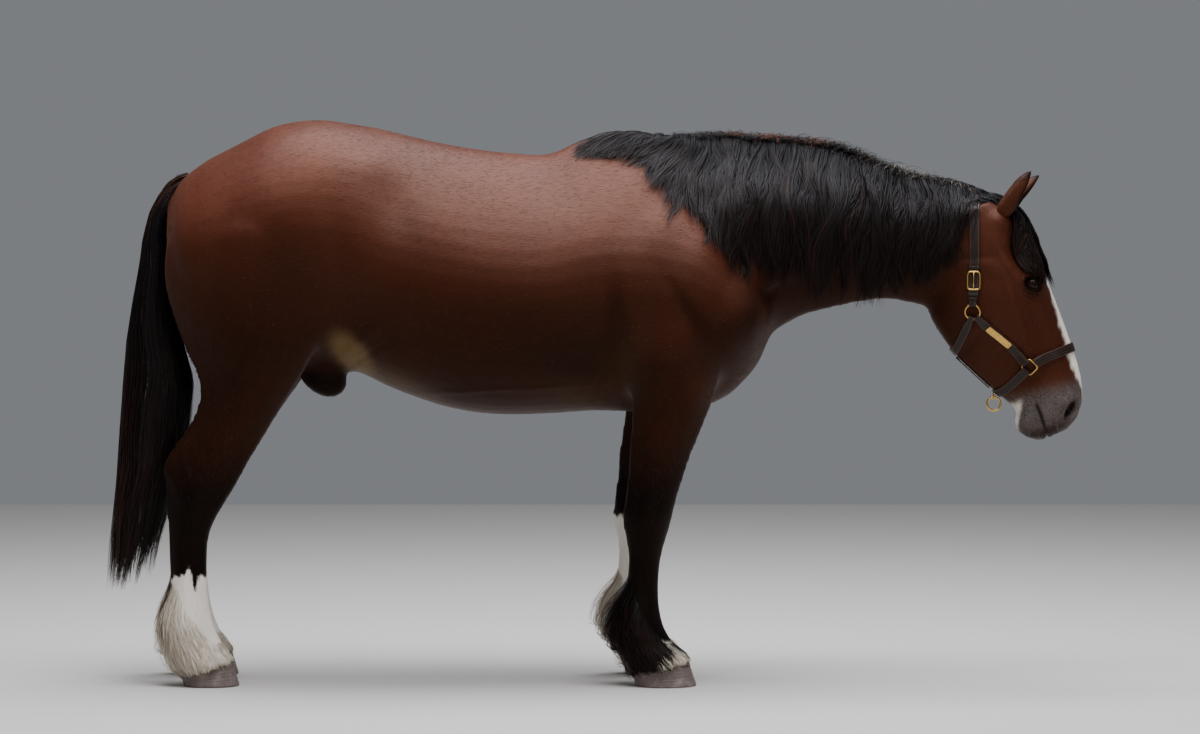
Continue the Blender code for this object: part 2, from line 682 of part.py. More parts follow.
torso = behind(copied(body, "torso", BAY_COAT), NECK_TORSO)
above(torso, FORELEG_TOP)
limbs = {}
for name, rails in LEGS.items():
    fore, right = "fore" in name, "right" in name
    top, bottom = (FORELEG_TOP, KNEE_BOTTOM) if fore else (HINDLEG_TOP, HOCK_BOTTOM)
    limb = above(below(copied(body, "limb", BAY_COAT), top), bottom)
    sliced(limb, (0, 0, 0), (0, 1 if right else -1, 0))
    sliced(limb, (-0.4, 0, 0), (-1 if fore else 1, 0, 0))
    limbs[name] = largest(limb)
    limbs[name].name = ("forearm_" if fore else "gaskin_") + name.split("_")[1]

# The hind legs leave the torso higher than the forelegs, so what hangs below is cut off
for name in ("hind_right", "hind_left"):
    block = mesh_object(
        "block",
        [
            (x, y, z)
            for x in (-1.6, -0.80)
            for y in ((-0.6, 0.0) if "right" in name else (0.0, 0.6))
            for z in (0.5, HINDLEG_TOP + GAP / 2)
        ],
        [(0, 1, 3, 2), (4, 6, 7, 5), (0, 4, 5, 1), (2, 3, 7, 6), (0, 2, 6, 4), (1, 5, 7, 3)],
    )
    face_out(block)
    cut(torso, block, "DIFFERENCE")
    removed(block)
largest(torso)

# Hooves, with a flat sole and a tilted top under the coronet

HOOVES = {
    # toe, heel on the floor, half-width; coronet front x, z and back x, z
    "fore_right": (0.318, 0.130, 0.083, 0.292, 0.082, 0.122, 0.040),
    "hind_right": (-1.081, -1.252, 0.078, -1.104, 0.080, -1.262, 0.042),
}


def moved(values, back):
    toe, heel, half, front_x, front_z, back_x, back_z = values
    return toe - back, heel - back, half, front_x - back, front_z, back_x - back, back_z


HOOVES["fore_left"] = moved(HOOVES["fore_right"], LEFT_FORE_BACK)
HOOVES["hind_left"] = moved(HOOVES["hind_right"], LEFT_HIND_BACK)


def hoof(name, values, y, around=20):
    """Rings from the sole up to the coronet, round at the toe and narrower at the heel."""
    toe, heel, half, front_x, front_z, back_x, back_z = values
    points = []
    for up, inset in ((0.0, 0.004), (0.06, 0.0), (0.55, 0.004), (1.0, 0.0)):
        front, back = toe + (front_x - toe) * up, heel + (back_x - heel) * up
        wide = half * (1 - 0.16 * up)
        for k in range(around):
            a = 2 * math.pi * k / around
            along = math.copysign(abs(math.cos(a)) ** (1.0 if math.cos(a) > 0 else 0.7), math.cos(a))
            x = (front + back) / 2 + (front - back) / 2 * along - inset * math.cos(a)
            narrow = 1 - 0.16 * max(0.0, -along) ** 2
            z = up * (back_z + (front_z - back_z) * (along + 1) / 2)
            points.append((x, y + (wide - inset) * narrow * math.sin(a), z))
    made = mesh_object("hoof_" + name, points, grid_faces(4, around), HOOF_HORN)
    face_out(made)
    return made


hooves = {}
for name in LEGS:
    side = -1 if "right" in name else 1
    hooves[name] = hoof(name, HOOVES[name], side * STANCE)

# Lower legs and their feather

FORE_FEATHER = [
    (0.200, 0.330, 0.075, 0.320, -0.175, 0.036, 0.042, 0.030, 0.9),
    (0.205, 0.268, 0.026, 0.262, -0.175, 0.048, 0.058, 0.040, 0.9),
    (0.216, 0.207, 0.010, 0.200, -0.175, 0.056, 0.070, 0.048, 0.9),
    (0.226, 0.165, 0.008, 0.165, -0.175, 0.060, 0.077, 0.050, 0.9),
    (0.246, 0.137, 0.018, 0.120, -0.175, 0.066, 0.082, 0.052, 0.9),
    (0.272, 0.116, 0.040, 0.080, -0.175, 0.076, 0.090, 0.058, 0.9),
    (0.298, 0.090, 0.070, 0.045, -0.175, 0.084, 0.096, 0.060, 0.9),
    (0.303, 0.070, 0.100, 0.018, -0.175, 0.084, 0.096, 0.060, 0.9),
]
HIND_FEATHER = [
    (-1.178, 0.360, -1.300, 0.350, -0.175, 0.040, 0.046, 0.034, 0.9),
    (-1.166, 0.290, -1.312, 0.280, -0.175, 0.048, 0.058, 0.040, 0.9),
    (-1.160, 0.225, -1.340, 0.215, -0.175, 0.056, 0.070, 0.048, 0.9),
    (-1.152, 0.180, -1.352, 0.160, -0.175, 0.060, 0.077, 0.050, 0.9),
    (-1.136, 0.142, -1.352, 0.110, -0.175, 0.066, 0.082, 0.052, 0.9),
    (-1.114, 0.106, -1.334, 0.070, -0.175, 0.076, 0.088, 0.058, 0.9),
    (-1.098, 0.084, -1.300, 0.040, -0.175, 0.080, 0.092, 0.060, 0.9),
    (-1.094, 0.068, -1.262, 0.018, -0.175, 0.080, 0.092, 0.060, 0.9),
]
FEATHER_LOCKS = [
    # degrees from the front, height of the root, length, width
    (180, 0.320, 0.140, 0.060),
    (154, 0.270, 0.150, 0.064),
    (-154, 0.270, 0.150, 0.064),
    (180, 0.225, 0.170, 0.070),
    (128, 0.205, 0.145, 0.060),
    (-128, 0.205, 0.145, 0.060),
    (158, 0.175, 0.155, 0.070),
    (-158, 0.175, 0.155, 0.070),
    (98, 0.160, 0.110, 0.056),
    (-98, 0.160, 0.110, 0.056),
    (58, 0.150, 0.078, 0.056),
    (-58, 0.150, 0.078, 0.056),
    (0, 0.150, 0.066, 0.060),
]


def halfway(feather, leg):
    """Rails between a leg and the tips of its feather."""
    rows = np.array(leg, float)[::-1]
    made = []
    for fx, fz, bx, bz, y, near, half, far, full in feather:
        front = float(np.interp(fz, rows[:, 1], rows[:, 0]))
        back = float(np.interp(bz, rows[:, 3], rows[:, 2]))
        wide = float(np.interp((fz + bz) / 2, (rows[:, 1] + rows[:, 3]) / 2, rows[:, 6]))
        made.append(
            (
                front + (fx - front) * 0.3,
                fz,
                back + (bx - back) * 0.5,
                bz,
                y,
                near * (wide + half) / 2 / half,
                (wide + half) / 2,
                far * (wide + half) / 2 / half,
                full,
            )
        )
    return made


def outside(tree, centre, turn, side):
    """The surface found from outside, looking level at an axis."""
    way = Vector((math.cos(turn), side * math.sin(turn), 0))
    hit, out, _, _ = tree.ray_cast(centre + way * 0.4, -way)
    return (hit or centre), (out or way), way


def feather_lock(row, bare, coat, axis, side):
    degrees, root, length, width = row
    turn = math.radians(degrees + rng.uniform(-5, 5))
    root += rng.uniform(-0.006, 0.006)
    places, facings = [], []
    for k in range(5):
        t = k / 4
        z = max(root - length * t, 0.014)
        centre = Vector((float(np.interp(z, axis[:, 1], axis[:, 0])), axis[0, 2], z))
        skin, _, way = outside(bare, centre, turn, side)
        edge, out, _ = outside(coat, centre, turn, side)
        share = (0.0, 0.38, 0.70, 0.85, 0.72)[k]
        places.append(skin.lerp(edge, share) + way * (-0.014, 0.000, 0.002, 0.001, 0.000)[k])
        facings.append((way.x, way.y, 0.35))
    return lock(places, facings, width, 0.020, 3)


shanks = {}
for name in LEGS:
    fore, right = "fore" in name, "right" in name
    feather = FORE_FEATHER if fore else HIND_FEATHER
    if not right:
        feather = left_leg(feather, LEFT_FORE_BACK if fore else LEFT_HIND_BACK)
    coat = loft("coat", feather, 0.02, 24)
    core = loft("core", halfway(feather, LEGS[name]), 0.02, 24)
    shank = fused("shank", [leg_cores[name], core], 0.009)
    relaxed(shank, 4, 4)
    below(shank, KNEE_BOTTOM if fore else HOCK_BOTTOM)
    bare, edge = tree_of(shank), tree_of(coat)
    thinned(shank, SHANK_TRIANGLES)
    kept = copied(shank, "shank_" + name, BLACK_HAIR if name == "fore_right" else WHITE_HAIR)
    sliced(kept, (0, 0, 0.012), (0, 0, -1))
    rails = np.array(LEGS[name], float)[::-1]
    axis = np.column_stack([(rails[:, 0] + rails[:, 2]) / 2, (rails[:, 1] + rails[:, 3]) / 2, rails[:, 4]])
    side = -1 if right else 1
    locks = [feather_lock(row, bare, edge, axis, side) for row in FEATHER_LOCKS]
    joined(kept, locks)
    shanks[name] = cleared(kept, hooves[name], by=0.0006)
    removed(shank, coat, core)

# Head, eyes and ears

head = fused("head_mesh", [neck_core, head_core], 0.006)
relaxed(head, 10, 4)
sliced(head, (0.95, 0, 0), (-1, 0, 0))
featured(head)
thinned(head, HEAD_TRIANGLES)
head_skin = copied(head, "head_skin", BAY_COAT)
removed(head)
head = ahead(copied(head_skin, "head", BAY_COAT), HEAD_NECK)
eyes = {}
for side, word in ((-1, "right"), (1, "left")):
    x, z = from_head(EYE[0], EYE[1])
    eye = ball("eye_" + word, (x, side * EYE[2], z), (EYE_RADIUS,) * 3, 0, 12, 7)
    eye.data.materials.append(DARK_EYE)
    eyes[word] = eye


EAR_TIPS = {"right": (1.343, -0.090, 1.577), "left": (1.389, 0.088, 1.569)}


def ear(word, side):
    """A cup: rings of an outer arc and an inner one, from the root to the tip."""
    root = Vector((1.241, side * 0.056, 1.426))
    tip = Vector(EAR_TIPS[word])
    opening = Vector((0.88, -side * 0.10, -0.46)).normalized()
    along = (tip - root).normalized()
    across = along.cross(opening).normalized()
    opening = across.cross(along).normalized()
    points, rows = [], 8
    for r in range(rows):
        t = r / (rows - 1)
        wide = 0.030 * (1 - t**3.2) ** 0.8 * (0.72 + 0.6 * t) + 0.0025
        reach = math.radians(165 - 55 * min(1.0, t / 0.6) ** 0.8)
        wall = 0.004 if t > 0.15 else 0.004 + (0.15 - t) * 0.1
        centre = root.lerp(tip, t) + opening * 0.009 * math.sin(math.pi * t)
        for k in range(7):
            a = -reach + 2 * reach * k / 6
            points.append(centre + wide * (across * math.sin(a) - opening * math.cos(a)))
        for k in range(6):
            a = reach * 0.93 - 2 * reach * 0.93 * k / 5
            inner = max(wide - wall, wide * 0.3)
            points.append(centre + inner * (across * math.sin(a) - opening * math.cos(a)))
    made = mesh_object("ear_" + word, points, grid_faces(rows, 13), BAY_COAT)
    face_out(made)
    return made


ears = {word: ear(word, side) for side, word in ((-1, "right"), (1, "left"))}

# Forelock, mane and tail

FORELOCK_LOCKS = 7
head_tree = tree_of(head_skin)


def snapped(place, lift=0.0):
    hit, out, _, _ = head_tree.find_nearest(Vector(place))
    return hit + out * lift, out


def forelock_lock(share, layer):
    """From between the ears down over the forehead, most of it on the near side."""
    y = 0.045 - 0.135 * share
    tip_z = 1.265 - 0.07 * math.sin(math.pi * min(1.0, share * 1.1)) + rng.uniform(-0.01, 0.02)
    wave = rng.uniform(0, 6)
    guides = [(1.222, y * 0.12, 1.500), (1.270, y * 0.13, 1.500), (1.325, y * 0.2, 1.460)]
    for z in (1.40, 1.33, tip_z):
        guides.append((1.385 - 0.9 * max(0.0, -y - 0.02) + (1.40 - z) * 0.30, y * 1.25, z))
    places, facings = [], []
    for k, guide in enumerate(guides):
        rise = (-0.018, 0.009, 0.010, 0.010, 0.009, 0.004)[k]
        rise += (0.0, 0.010, 0.010, 0.010, 0.009, 0.005)[k] * layer
        hit, out = snapped(guide, rise)
        places.append(hit + Vector((0, 0.005 * math.sin(wave + k), 0)))
        facings.append(out)
    return lock(places, facings, rng.choice((0.034, 0.038, 0.042)), 0.009, 5)


joined(head, [forelock_lock((i + 0.5) / FORELOCK_LOCKS, i % 2) for i in range(FORELOCK_LOCKS)])
cleared(head, *eyes.values(), by=0.0004)
for word in ears:
    ears[word] = cleared(ears[word], head, by=0.0005)

# Mane: locks that leave the crest and hang down the near side of the neck

MANE_LOCKS = 24
MANE = [
    # crest x, then x and z of the lock's tip
    (0.040, 0.000, 1.615),
    (0.090, 0.130, 1.560),
    (0.160, 0.235, 1.480),
    (0.240, 0.300, 1.400),
    (0.340, 0.365, 1.330),
    (0.440, 0.440, 1.255),
    (0.540, 0.545, 1.205),
    (0.650, 0.665, 1.185),
    (0.760, 0.780, 1.175),
    (0.860, 0.850, 1.200),
    (0.950, 0.910, 1.250),
    (1.030, 0.980, 1.300),
    (1.095, 1.040, 1.370),
]
body_tree = tree_of(body)


def on_side(x, z, side=-1):
    """Where the body's side is, at a place in the side view, and the way it faces."""
    for drop in range(12):
        hit, out, _, _ = body_tree.ray_cast(Vector((x, side, z)), Vector((0, -side, 0)))
        if hit:
            return hit, out
        z += 0.006 if z < 1.3 else -0.006
    return None, None


def crest(x):
    return body_tree.ray_cast(Vector((x, 0, 3)), Vector((0, 0, -1)))[0]


def mane_core(thing):
    """Swells the neck under the upper half of the mane."""
    rail = np.array(MANE, float)
    points, out = coordinates(thing.data), normals(thing.data)
    top = np.interp(points[:, 0], NECK_CREST[:, 0], NECK_CREST[:, 1])
    foot = np.interp(points[:, 0], rail[:, 0], rail[:, 2])
    inside = ramp(points[:, 2] - (top + foot) / 2, -0.03, 0.05)
    inside *= ramp(points[:, 0], 0.15, 0.25) * ramp(-points[:, 0], -1.06, -1.0)
    inside *= ramp(-points[:, 1], -0.02, 0.03)
    set_coordinates(thing.data, points + out * (0.009 * inside)[:, None])
    return thing


def mane_lock(share, layer):
    rail = np.array(MANE, float)
    knots = np.linspace(0, 1, len(rail))
    row = [float(np.interp(share, knots, rail[:, k])) for k in range(3)]
    top = crest(row[0])
    tip_x = row[1] + rng.uniform(-0.02, 0.02)
    tip_z = row[2] + rng.uniform(-0.015, 0.035) + 0.02 * layer * rng.random()
    bow, wave = rng.uniform(-0.014, 0.014), rng.uniform(0, 6)
    lift = 0.007 + 0.0085 * layer
    places = [(row[0], 0.006, top.z - 0.030), (row[0], -0.012, top.z + lift * 0.6)]
    facings = [(0, -0.3, 1), (0, -0.5, 1)]
    for k in range(1, 7):
        t = k / 6
        x = row[0] + (tip_x - row[0]) * t**0.85 + bow * math.sin(math.pi * t)
        x += 0.008 * t * math.sin(wave + 5.5 * t)
        z = top.z - 0.012 + (tip_z - top.z + 0.012) * t
        hit, out = on_side(x, z)
        places.append(hit + out * (lift + 0.0012 * math.sin(wave + 4 * t)))
        facings.append(out)
    return lock(places, facings, rng.choice((0.064, 0.072, 0.080)), 0.008, 5)


NECK_CREST = np.array([(x, crest(x).z) for x in np.linspace(0.02, 1.15, 40)])
neck = mane_core(copied(body, "neck", BAY_COAT))
behind(ahead(neck, NECK_TORSO), HEAD_NECK)
locks = []
for i in range(MANE_LOCKS):
    share = (i + 0.3 + 0.4 * rng.random()) / MANE_LOCKS
    locks.append(mane_lock(share, i % 3))
joined(neck, locks)
cleared(neck, torso, by=0.0006)

TAIL = [
    (-1.262, 1.588, -1.235, 1.520, 0, 0.035, 0.040, 0.035, 1.0),
    (-1.315, 1.548, -1.270, 1.480, 0, 0.038, 0.044, 0.038, 1.0),
    (-1.345, 1.505, -1.296, 1.440, 0, 0.040, 0.048, 0.040, 1.0),
    (-1.375, 1.450, -1.318, 1.410, 0, 0.042, 0.052, 0.044, 1.0),
    (-1.396, 1.365, -1.312, 1.350, 0, 0.048, 0.060, 0.050, 1.0),
    (-1.403, 1.300, -1.310, 1.290, 0, 0.055, 0.068, 0.056, 1.0),
    (-1.426, 1.179, -1.298, 1.170, 0, 0.070, 0.085, 0.070, 1.0),
    (-1.445, 1.055, -1.268, 1.050, -0.005, 0.082, 0.100, 0.080, 1.0),
    (-1.455, 0.931, -1.232, 0.930, -0.008, 0.090, 0.112, 0.085, 1.0),
    (-1.469, 0.745, -1.245, 0.750, -0.010, 0.095, 0.116, 0.085, 1.0),
    (-1.476, 0.637, -1.275, 0.640, -0.010, 0.092, 0.112, 0.085, 1.0),
    (-1.487, 0.525, -1.305, 0.530, -0.012, 0.085, 0.104, 0.080, 1.0),
    (-1.500, 0.417, -1.328, 0.420, -0.014, 0.070, 0.088, 0.066, 1.0),
    (-1.514, 0.342, -1.345, 0.340, -0.016, 0.050, 0.066, 0.048, 1.0),
    (-1.518, 0.280, -1.365, 0.265, -0.040, 0.025, 0.040, 0.025, 1.0),
]
# The dock, which is the core, and locks that leave it all round
TAIL_LOCKS = 14
dock = [(*row[:5], *(0.8 * w for w in row[5:8]), 1.0) for row in TAIL[:8]]
dock.append((-1.435, 0.960, -1.320, 0.960, -0.008, 0.030, 0.040, 0.030, 1.0))
tail = copied(loft("tail_core", dock, 0.05, 12), "tail", BLACK_HAIR)


def tail_at(z, turn, reach):
    """A place in the tail's hair: at a height, round its middle, and out towards its edge."""
    rows = np.array(TAIL[2:], float)
    rear = np.interp(z, rows[::-1, 1], rows[::-1, 0])
    front = np.interp(z, rows[::-1, 3], rows[::-1, 2])
    middle = np.interp(z, rows[::-1, 1], rows[::-1, 4])
    half = np.interp(z, rows[::-1, 1], rows[::-1, 6])
    x = (rear + front) / 2 - (front - rear) / 2 * reach * math.cos(turn)
    return Vector((x, middle + half * reach * math.sin(turn), z))


def tail_lock(turn, inner, rearmost=False):
    start = rng.uniform(1.24, 1.44)
    tip = rng.uniform(0.27, 0.40) + 0.20 * rng.random() * (1 - math.cos(turn)) / 2
    bow, wave = rng.uniform(-0.25, 0.25), rng.uniform(0, 6)
    if rearmost:
        turn, tip, bow = 0.0, 0.272, 0.0
    places, facings = [], []
    for k in range(8):
        t = k / 7
        z = start + (tip - start) * t
        reach = (0.20, 0.72, 0.86, 0.90, 0.90, 0.86, 0.80, 0.66)[k] * (0.5 if inner else 1.0)
        if rearmost and k > 4:
            reach = 1.0
        angle = turn + bow * t + 0.10 * math.sin(wave + 6 * t)
        places.append(tail_at(z, angle, reach))
        facings.append((-math.cos(angle), math.sin(angle), 0.05))
    return lock(places, facings, rng.choice((0.064, 0.072, 0.080)), 0.018, 7)


locks = []
for i in range(TAIL_LOCKS):
    inner = i % 4 == 3
    turn = 2 * math.pi * (i + 0.5 * rng.random()) / TAIL_LOCKS * 3
    locks.append(tail_lock(turn, inner, rearmost=i == 0))
joined(tail, locks)
near = [torso, *[limbs[n] for n in ("hind_right", "hind_left")]]
near += [shanks[n] for n in ("hind_right", "hind_left")]
cleared(tail, *near, by=0.0006)

# Halter: straps laid on the head, joined by rings

def strap(name, guides, width, thick=0.0035, lift=0.0022, pitch=0.018, finish=HALTER_LEATHER):
    """A flat band that follows guide points over the head, raised where a chord would cut in."""
    guides = np.array(guides, float)
    run = np.concatenate([[0], np.cumsum(np.linalg.norm(np.diff(guides, axis=0), axis=1))])
    count = max(3, round(run[-1] / pitch))
    middle = spline(run, guides, np.linspace(0, run[-1], count))
    spots, rises = [], []
    for i, place in enumerate(middle):
        hit, out = snapped(place)
        way = Vector(middle[min(i + 1, count - 1)] - middle[max(i - 1, 0)]).normalized()
        across = way.cross(out).normalized() * width / 2
        for share in (-1, 0, 1):
            spot, rise = snapped(hit + across * share)
            spots.append(spot)
            rises.append((rise + out).normalized())
    lifts = [lift] * len(spots)
    pairs = [(i, i + 3) for i in range(len(spots) - 3)]
    pairs += [(i, i + 4) for i in range(len(spots) - 4) if i % 3 < 2]
    pairs += [(i, i + 2) for i in range(len(spots) - 3) if i % 3 > 0]
    pairs += [(i, i + 1) for i in range(len(spots) - 1) if i % 3 < 2]
    for _ in range(5):
        for i, j in pairs:
            low, high = spots[i] + rises[i] * lifts[i], spots[j] + rises[j] * lifts[j]
            for share in (0.25, 0.5, 0.75):
                chord = low.lerp(high, share)
                hit, out = snapped(chord)
                short = 0.6 * lift - (chord - hit).dot(out)
                if short > 0:
                    lifts[i] += short
                    lifts[j] += short
                    low, high = spots[i] + rises[i] * lifts[i], spots[j] + rises[j] * lifts[j]
    points = []
    for row in range(0, len(spots), 3):
        under = [spots[row + k] + rises[row + k] * lifts[row + k] for k in range(3)]
        over = [spots[row + k] + rises[row + k] * (lifts[row + k] + thick) for k in range(3)]
        points += under + over[::-1]
    made = mesh_object(name, points, grid_faces(count, 6), finish)
    face_out(made)
    return made


def ring(name, place, radius, wire, facing=None, lift=0.0, around=14, corners=0, turn=0.0, tall=1.0):
    """A ring, or with corners a square or upright frame, of round wire."""
    if facing is None:
        centre, facing = snapped(place, lift)
    else:
        centre, facing = Vector(place), Vector(facing).normalized()
    first = facing.orthogonal().normalized()
    up = Vector((0, 0, 1)) - facing * facing.z
    first = up.normalized() if up.length > 0.1 else first
    second = facing.cross(first)
    points = []
    for k in range(around):
        a = 2 * math.pi * k / around
        far = radius
        if corners:
            b = (a + math.pi / 4) % (math.pi / 2) - math.pi / 4
            far = radius * min(1.0 / math.cos(b), 1.25)
        way = first * math.cos(a + turn) + second * math.sin(a + turn)
        middle = centre + far * (way + first * (tall - 1) * math.cos(a + turn))
        for j in range(5):
            c = 2 * math.pi * j / 5
            points.append(middle + way * wire * math.cos(c) + facing * wire * math.sin(c))
    faces = []
    for k in range(around):
        m = (k + 1) % around
        for j in range(5):
            n = (j + 1) % 5
            faces.append((k * 5 + j, m * 5 + j, m * 5 + n, k * 5 + n))
    made = mesh_object(name, points, faces, HALTER_BRASS)
    face_out(made)
    return made


def wire(name, places, radius, around=5):
    """Round wire bent along a path."""
    path = [Vector(place) for place in places]
    points = []
    for k, here in enumerate(path):
        way = (path[min(k + 1, len(path) - 1)] - path[max(k - 1, 0)]).normalized()
        first = Vector((1, 0, 0))
        second = way.cross(first).normalized()
        for j in range(around):
            c = 2 * math.pi * j / around
            points.append(here + radius * (first * math.cos(c) + second * math.sin(c)))
    made = mesh_object(name, points, grid_faces(len(path), around), HALTER_BRASS)
    face_out(made)
    return made


def both_ways(half):
    """Guides of the right side carried on over the middle to the left."""
    return half + [(x, -y, z) for x, y, z in reversed(half) if abs(y) > 1e-6]


CROWN = [
    (1.168, -0.105, 1.185),
    (1.170, -0.112, 1.270),
    (1.172, -0.105, 1.380),
    (1.173, -0.080, 1.475),
    (1.173, -0.045, 1.520),
    (1.173, 0.000, 1.540),
]
NOSEBAND = [
    (1.372, -0.068, 0.992),
    (1.420, -0.070, 1.010),
    (1.470, -0.055, 1.028),
    (1.497, -0.028, 1.038),
    (1.503, 0.000, 1.040),
]
CHIN = [(1.330, -0.064, 0.955), (1.300, -0.060, 0.925), (1.268, -0.045, 0.895), (1.245, 0.0, 0.885)]
THROAT = [(1.158, -0.100, 1.112), (1.138, -0.090, 1.070), (1.118, -0.060, 1.025), (1.108, 0.0, 1.010)]
strap("crown_strap", both_ways(CROWN), 0.032, pitch=0.026)
strap("noseband", both_ways(NOSEBAND), 0.029)
chin = strap("chin_strap", both_ways(CHIN), 0.030)
strap("throat_strap", both_ways(THROAT), 0.026)
strap("jaw_strap", [(1.135, 0, 1.000), (1.180, 0, 0.955), (1.222, 0, 0.912)], 0.028)
for side, word in ((-1, "right"), (1, "left")):
    strap(
        "cheek_strap_" + word,
        [(1.188, side * 0.105, 1.112), (1.255, side * 0.095, 1.055), (1.318, side * 0.075, 1.000)],
        0.028,
    )
    ring("cheek_ring_" + word, (1.166, side * 0.11, 1.143), 0.023, 0.0034, lift=0.0095)
    place, turn = (1.347, side * 0.07, 0.974), side * math.radians(22)
    ring("square_ring_" + word, place, 0.020, 0.0032, lift=0.0095, around=16, corners=4, turn=turn)
ring("lead_ring", (1.243, 0, 0.857), 0.021, 0.0036, facing=(0, 1, 0))
bow = []
for k in range(7):
    a = math.pi * (k / 6 - 0.5)
    bow.append((1.243, 0.0095 * math.sin(a), 0.8814 - 0.0095 * math.cos(a)))
bow = [(1.243, -0.0095, 0.8925), *bow, (1.243, 0.0095, 0.8925)]
lead_loop = wire("lead_loop", bow, 0.0022)
cleared(lead_loop, chin, by=0.0003)
buckle = (1.166, -0.112, 1.238)
ring("crown_buckle", buckle, 0.019, 0.0028, lift=0.0092, around=16, corners=4, tall=1.45)
strap(
    "name_plate",
    [(1.232, -0.1, 1.074), (1.262, -0.1, 1.050), (1.292, -0.1, 1.024)],
    0.021,
    thick=0.0015,
    lift=0.0062,
    finish=HALTER_BRASS,
)

removed(trunk, neck_core, head_core, sheath, body, head_skin)
removed(*leg_cores.values())
removed(*[thing for thing in list(bpy.data.objects) if thing.name.startswith(("tail_core", "limb"))])
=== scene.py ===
"""The looks of a heavy draught horse in a leather halter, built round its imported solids.

The frame is the solids' own: metres, +Z up, +X towards the nose, the horse's right side towards
-Y, and the origin on the floor under the middle of the body. One skin stands for all the flesh;
eyes, hooves, long hair and halter are pieces of their own on top of it.
"""

import math

import bmesh
import bpy
import numpy as np
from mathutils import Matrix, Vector
from mathutils.bvhtree import BVHTree


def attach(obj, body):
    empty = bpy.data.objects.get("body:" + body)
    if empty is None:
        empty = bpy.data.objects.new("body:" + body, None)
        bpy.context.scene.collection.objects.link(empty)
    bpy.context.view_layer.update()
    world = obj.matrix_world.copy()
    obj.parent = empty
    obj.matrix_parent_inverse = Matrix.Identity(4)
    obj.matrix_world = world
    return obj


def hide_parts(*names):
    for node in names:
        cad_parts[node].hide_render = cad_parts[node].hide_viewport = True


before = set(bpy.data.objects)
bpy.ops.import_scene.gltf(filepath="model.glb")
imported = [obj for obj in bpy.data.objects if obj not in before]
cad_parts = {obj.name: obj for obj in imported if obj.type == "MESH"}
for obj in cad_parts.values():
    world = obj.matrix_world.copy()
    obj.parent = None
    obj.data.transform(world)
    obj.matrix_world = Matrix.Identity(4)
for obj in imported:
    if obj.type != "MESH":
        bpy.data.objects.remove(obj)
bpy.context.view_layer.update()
rng = np.random.default_rng(11)

# The skin: hide over muscle, one closed surface from muzzle to tail and down to the hooves. It is
# lofted between pairs of rails (top and bottom, or front and back), fused by a voxel remesh,
# relaxed until the creases fill, and then swollen by its muscles, tendons and folds.

DEPTH = 0.002  # how far the skin lies inside the solids: the thickness of a short coat
SKIN_CELL = 0.0105  # of the grid in which the skin is fused
STANCE = 0.175  # from the middle of the body to the middle of a leg
LEFT_FORE_BACK = 0.028  # how far each left leg stands behind the right one
LEFT_HIND_BACK = 0.035
LEG_TOP, LEG_FADE = 1.05, 0.35  # where that begins, and over what height it grows

TRUNK = [
    # top x, z, bottom x, z, middle, half-widths at top, middle and bottom, fullness
    (-1.315, 1.490, -1.300, 1.200, 0, 0.10, 0.14, 0.10, 1.0),
    (-1.280, 1.548, -1.260, 1.090, 0, 0.19, 0.23, 0.17, 0.95),
    (-1.221, 1.598, -1.190, 1.010, 0, 0.25, 0.285, 0.22, 0.95),
    (-1.097, 1.665, -1.080, 0.965, 0, 0.30, 0.325, 0.26, 0.9),
    (-0.973, 1.722, -0.970, 0.965, 0, 0.33, 0.340, 0.27, 0.85),
    (-0.850, 1.740, -0.860, 0.975, 0, 0.335, 0.340, 0.275, 0.85),
    (-0.740, 1.728, -0.760, 0.965, 0, 0.320, 0.335, 0.290, 0.9),
    (-0.601, 1.697, -0.610, 0.900, 0, 0.295, 0.342, 0.320, 0.95),
    (-0.440, 1.661, -0.450, 0.846, 0, 0.285, 0.358, 0.345, 1.0),
    (-0.250, 1.636, -0.280, 0.823, 0, 0.275, 0.366, 0.350, 1.0),
    (-0.136, 1.634, -0.130, 0.826, 0, 0.250, 0.360, 0.335, 1.0),
    (-0.020, 1.682, 0.010, 0.835, 0, 0.200, 0.343, 0.310, 1.0),
    (0.090, 1.700, 0.130, 0.832, 0, 0.165, 0.325, 0.280, 0.95),
    (0.230, 1.660, 0.270, 0.838, 0, 0.170, 0.305, 0.260, 0.9),
    (0.340, 1.560, 0.380, 0.862, 0, 0.170, 0.288, 0.240, 0.85),
    (0.430, 1.430, 0.460, 0.915, 0, 0.160, 0.258, 0.210, 0.85),
    (0.500, 1.300, 0.520, 0.990, 0, 0.130, 0.205, 0.160, 0.9),
    (0.548, 1.200, 0.555, 1.070, 0, 0.070, 0.110, 0.080, 1.0),
]
NECK = [
    (0.080, 1.690, 0.330, 0.960, 0, 0.080, 0.200, 0.190, 1.0),
    (0.267, 1.688, 0.545, 1.060, 0, 0.070, 0.190, 0.175, 1.0),
    (0.420, 1.692, 0.640, 1.125, 0, 0.062, 0.165, 0.140, 0.95),
    (0.577, 1.683, 0.730, 1.152, 0, 0.055, 0.145, 0.115, 0.95),
    (0.701, 1.672, 0.810, 1.169, 0, 0.050, 0.132, 0.105, 0.95),
    (0.800, 1.646, 0.875, 1.179, 0, 0.047, 0.122, 0.100, 0.95),
    (0.910, 1.602, 0.925, 1.180, 0, 0.046, 0.112, 0.097, 0.95),
    (1.010, 1.570, 0.975, 1.172, 0, 0.050, 0.104, 0.092, 0.95),
    (1.110, 1.546, 1.030, 1.160, 0, 0.058, 0.100, 0.088, 0.9),
    (1.200, 1.516, 1.120, 1.150, 0, 0.062, 0.098, 0.082, 0.9),
    (1.265, 1.480, 1.220, 1.180, 0, 0.055, 0.090, 0.070, 0.9),
]
POLL = (1.259, 1.498)  # the head's own frame: distance down the face from here, and over it
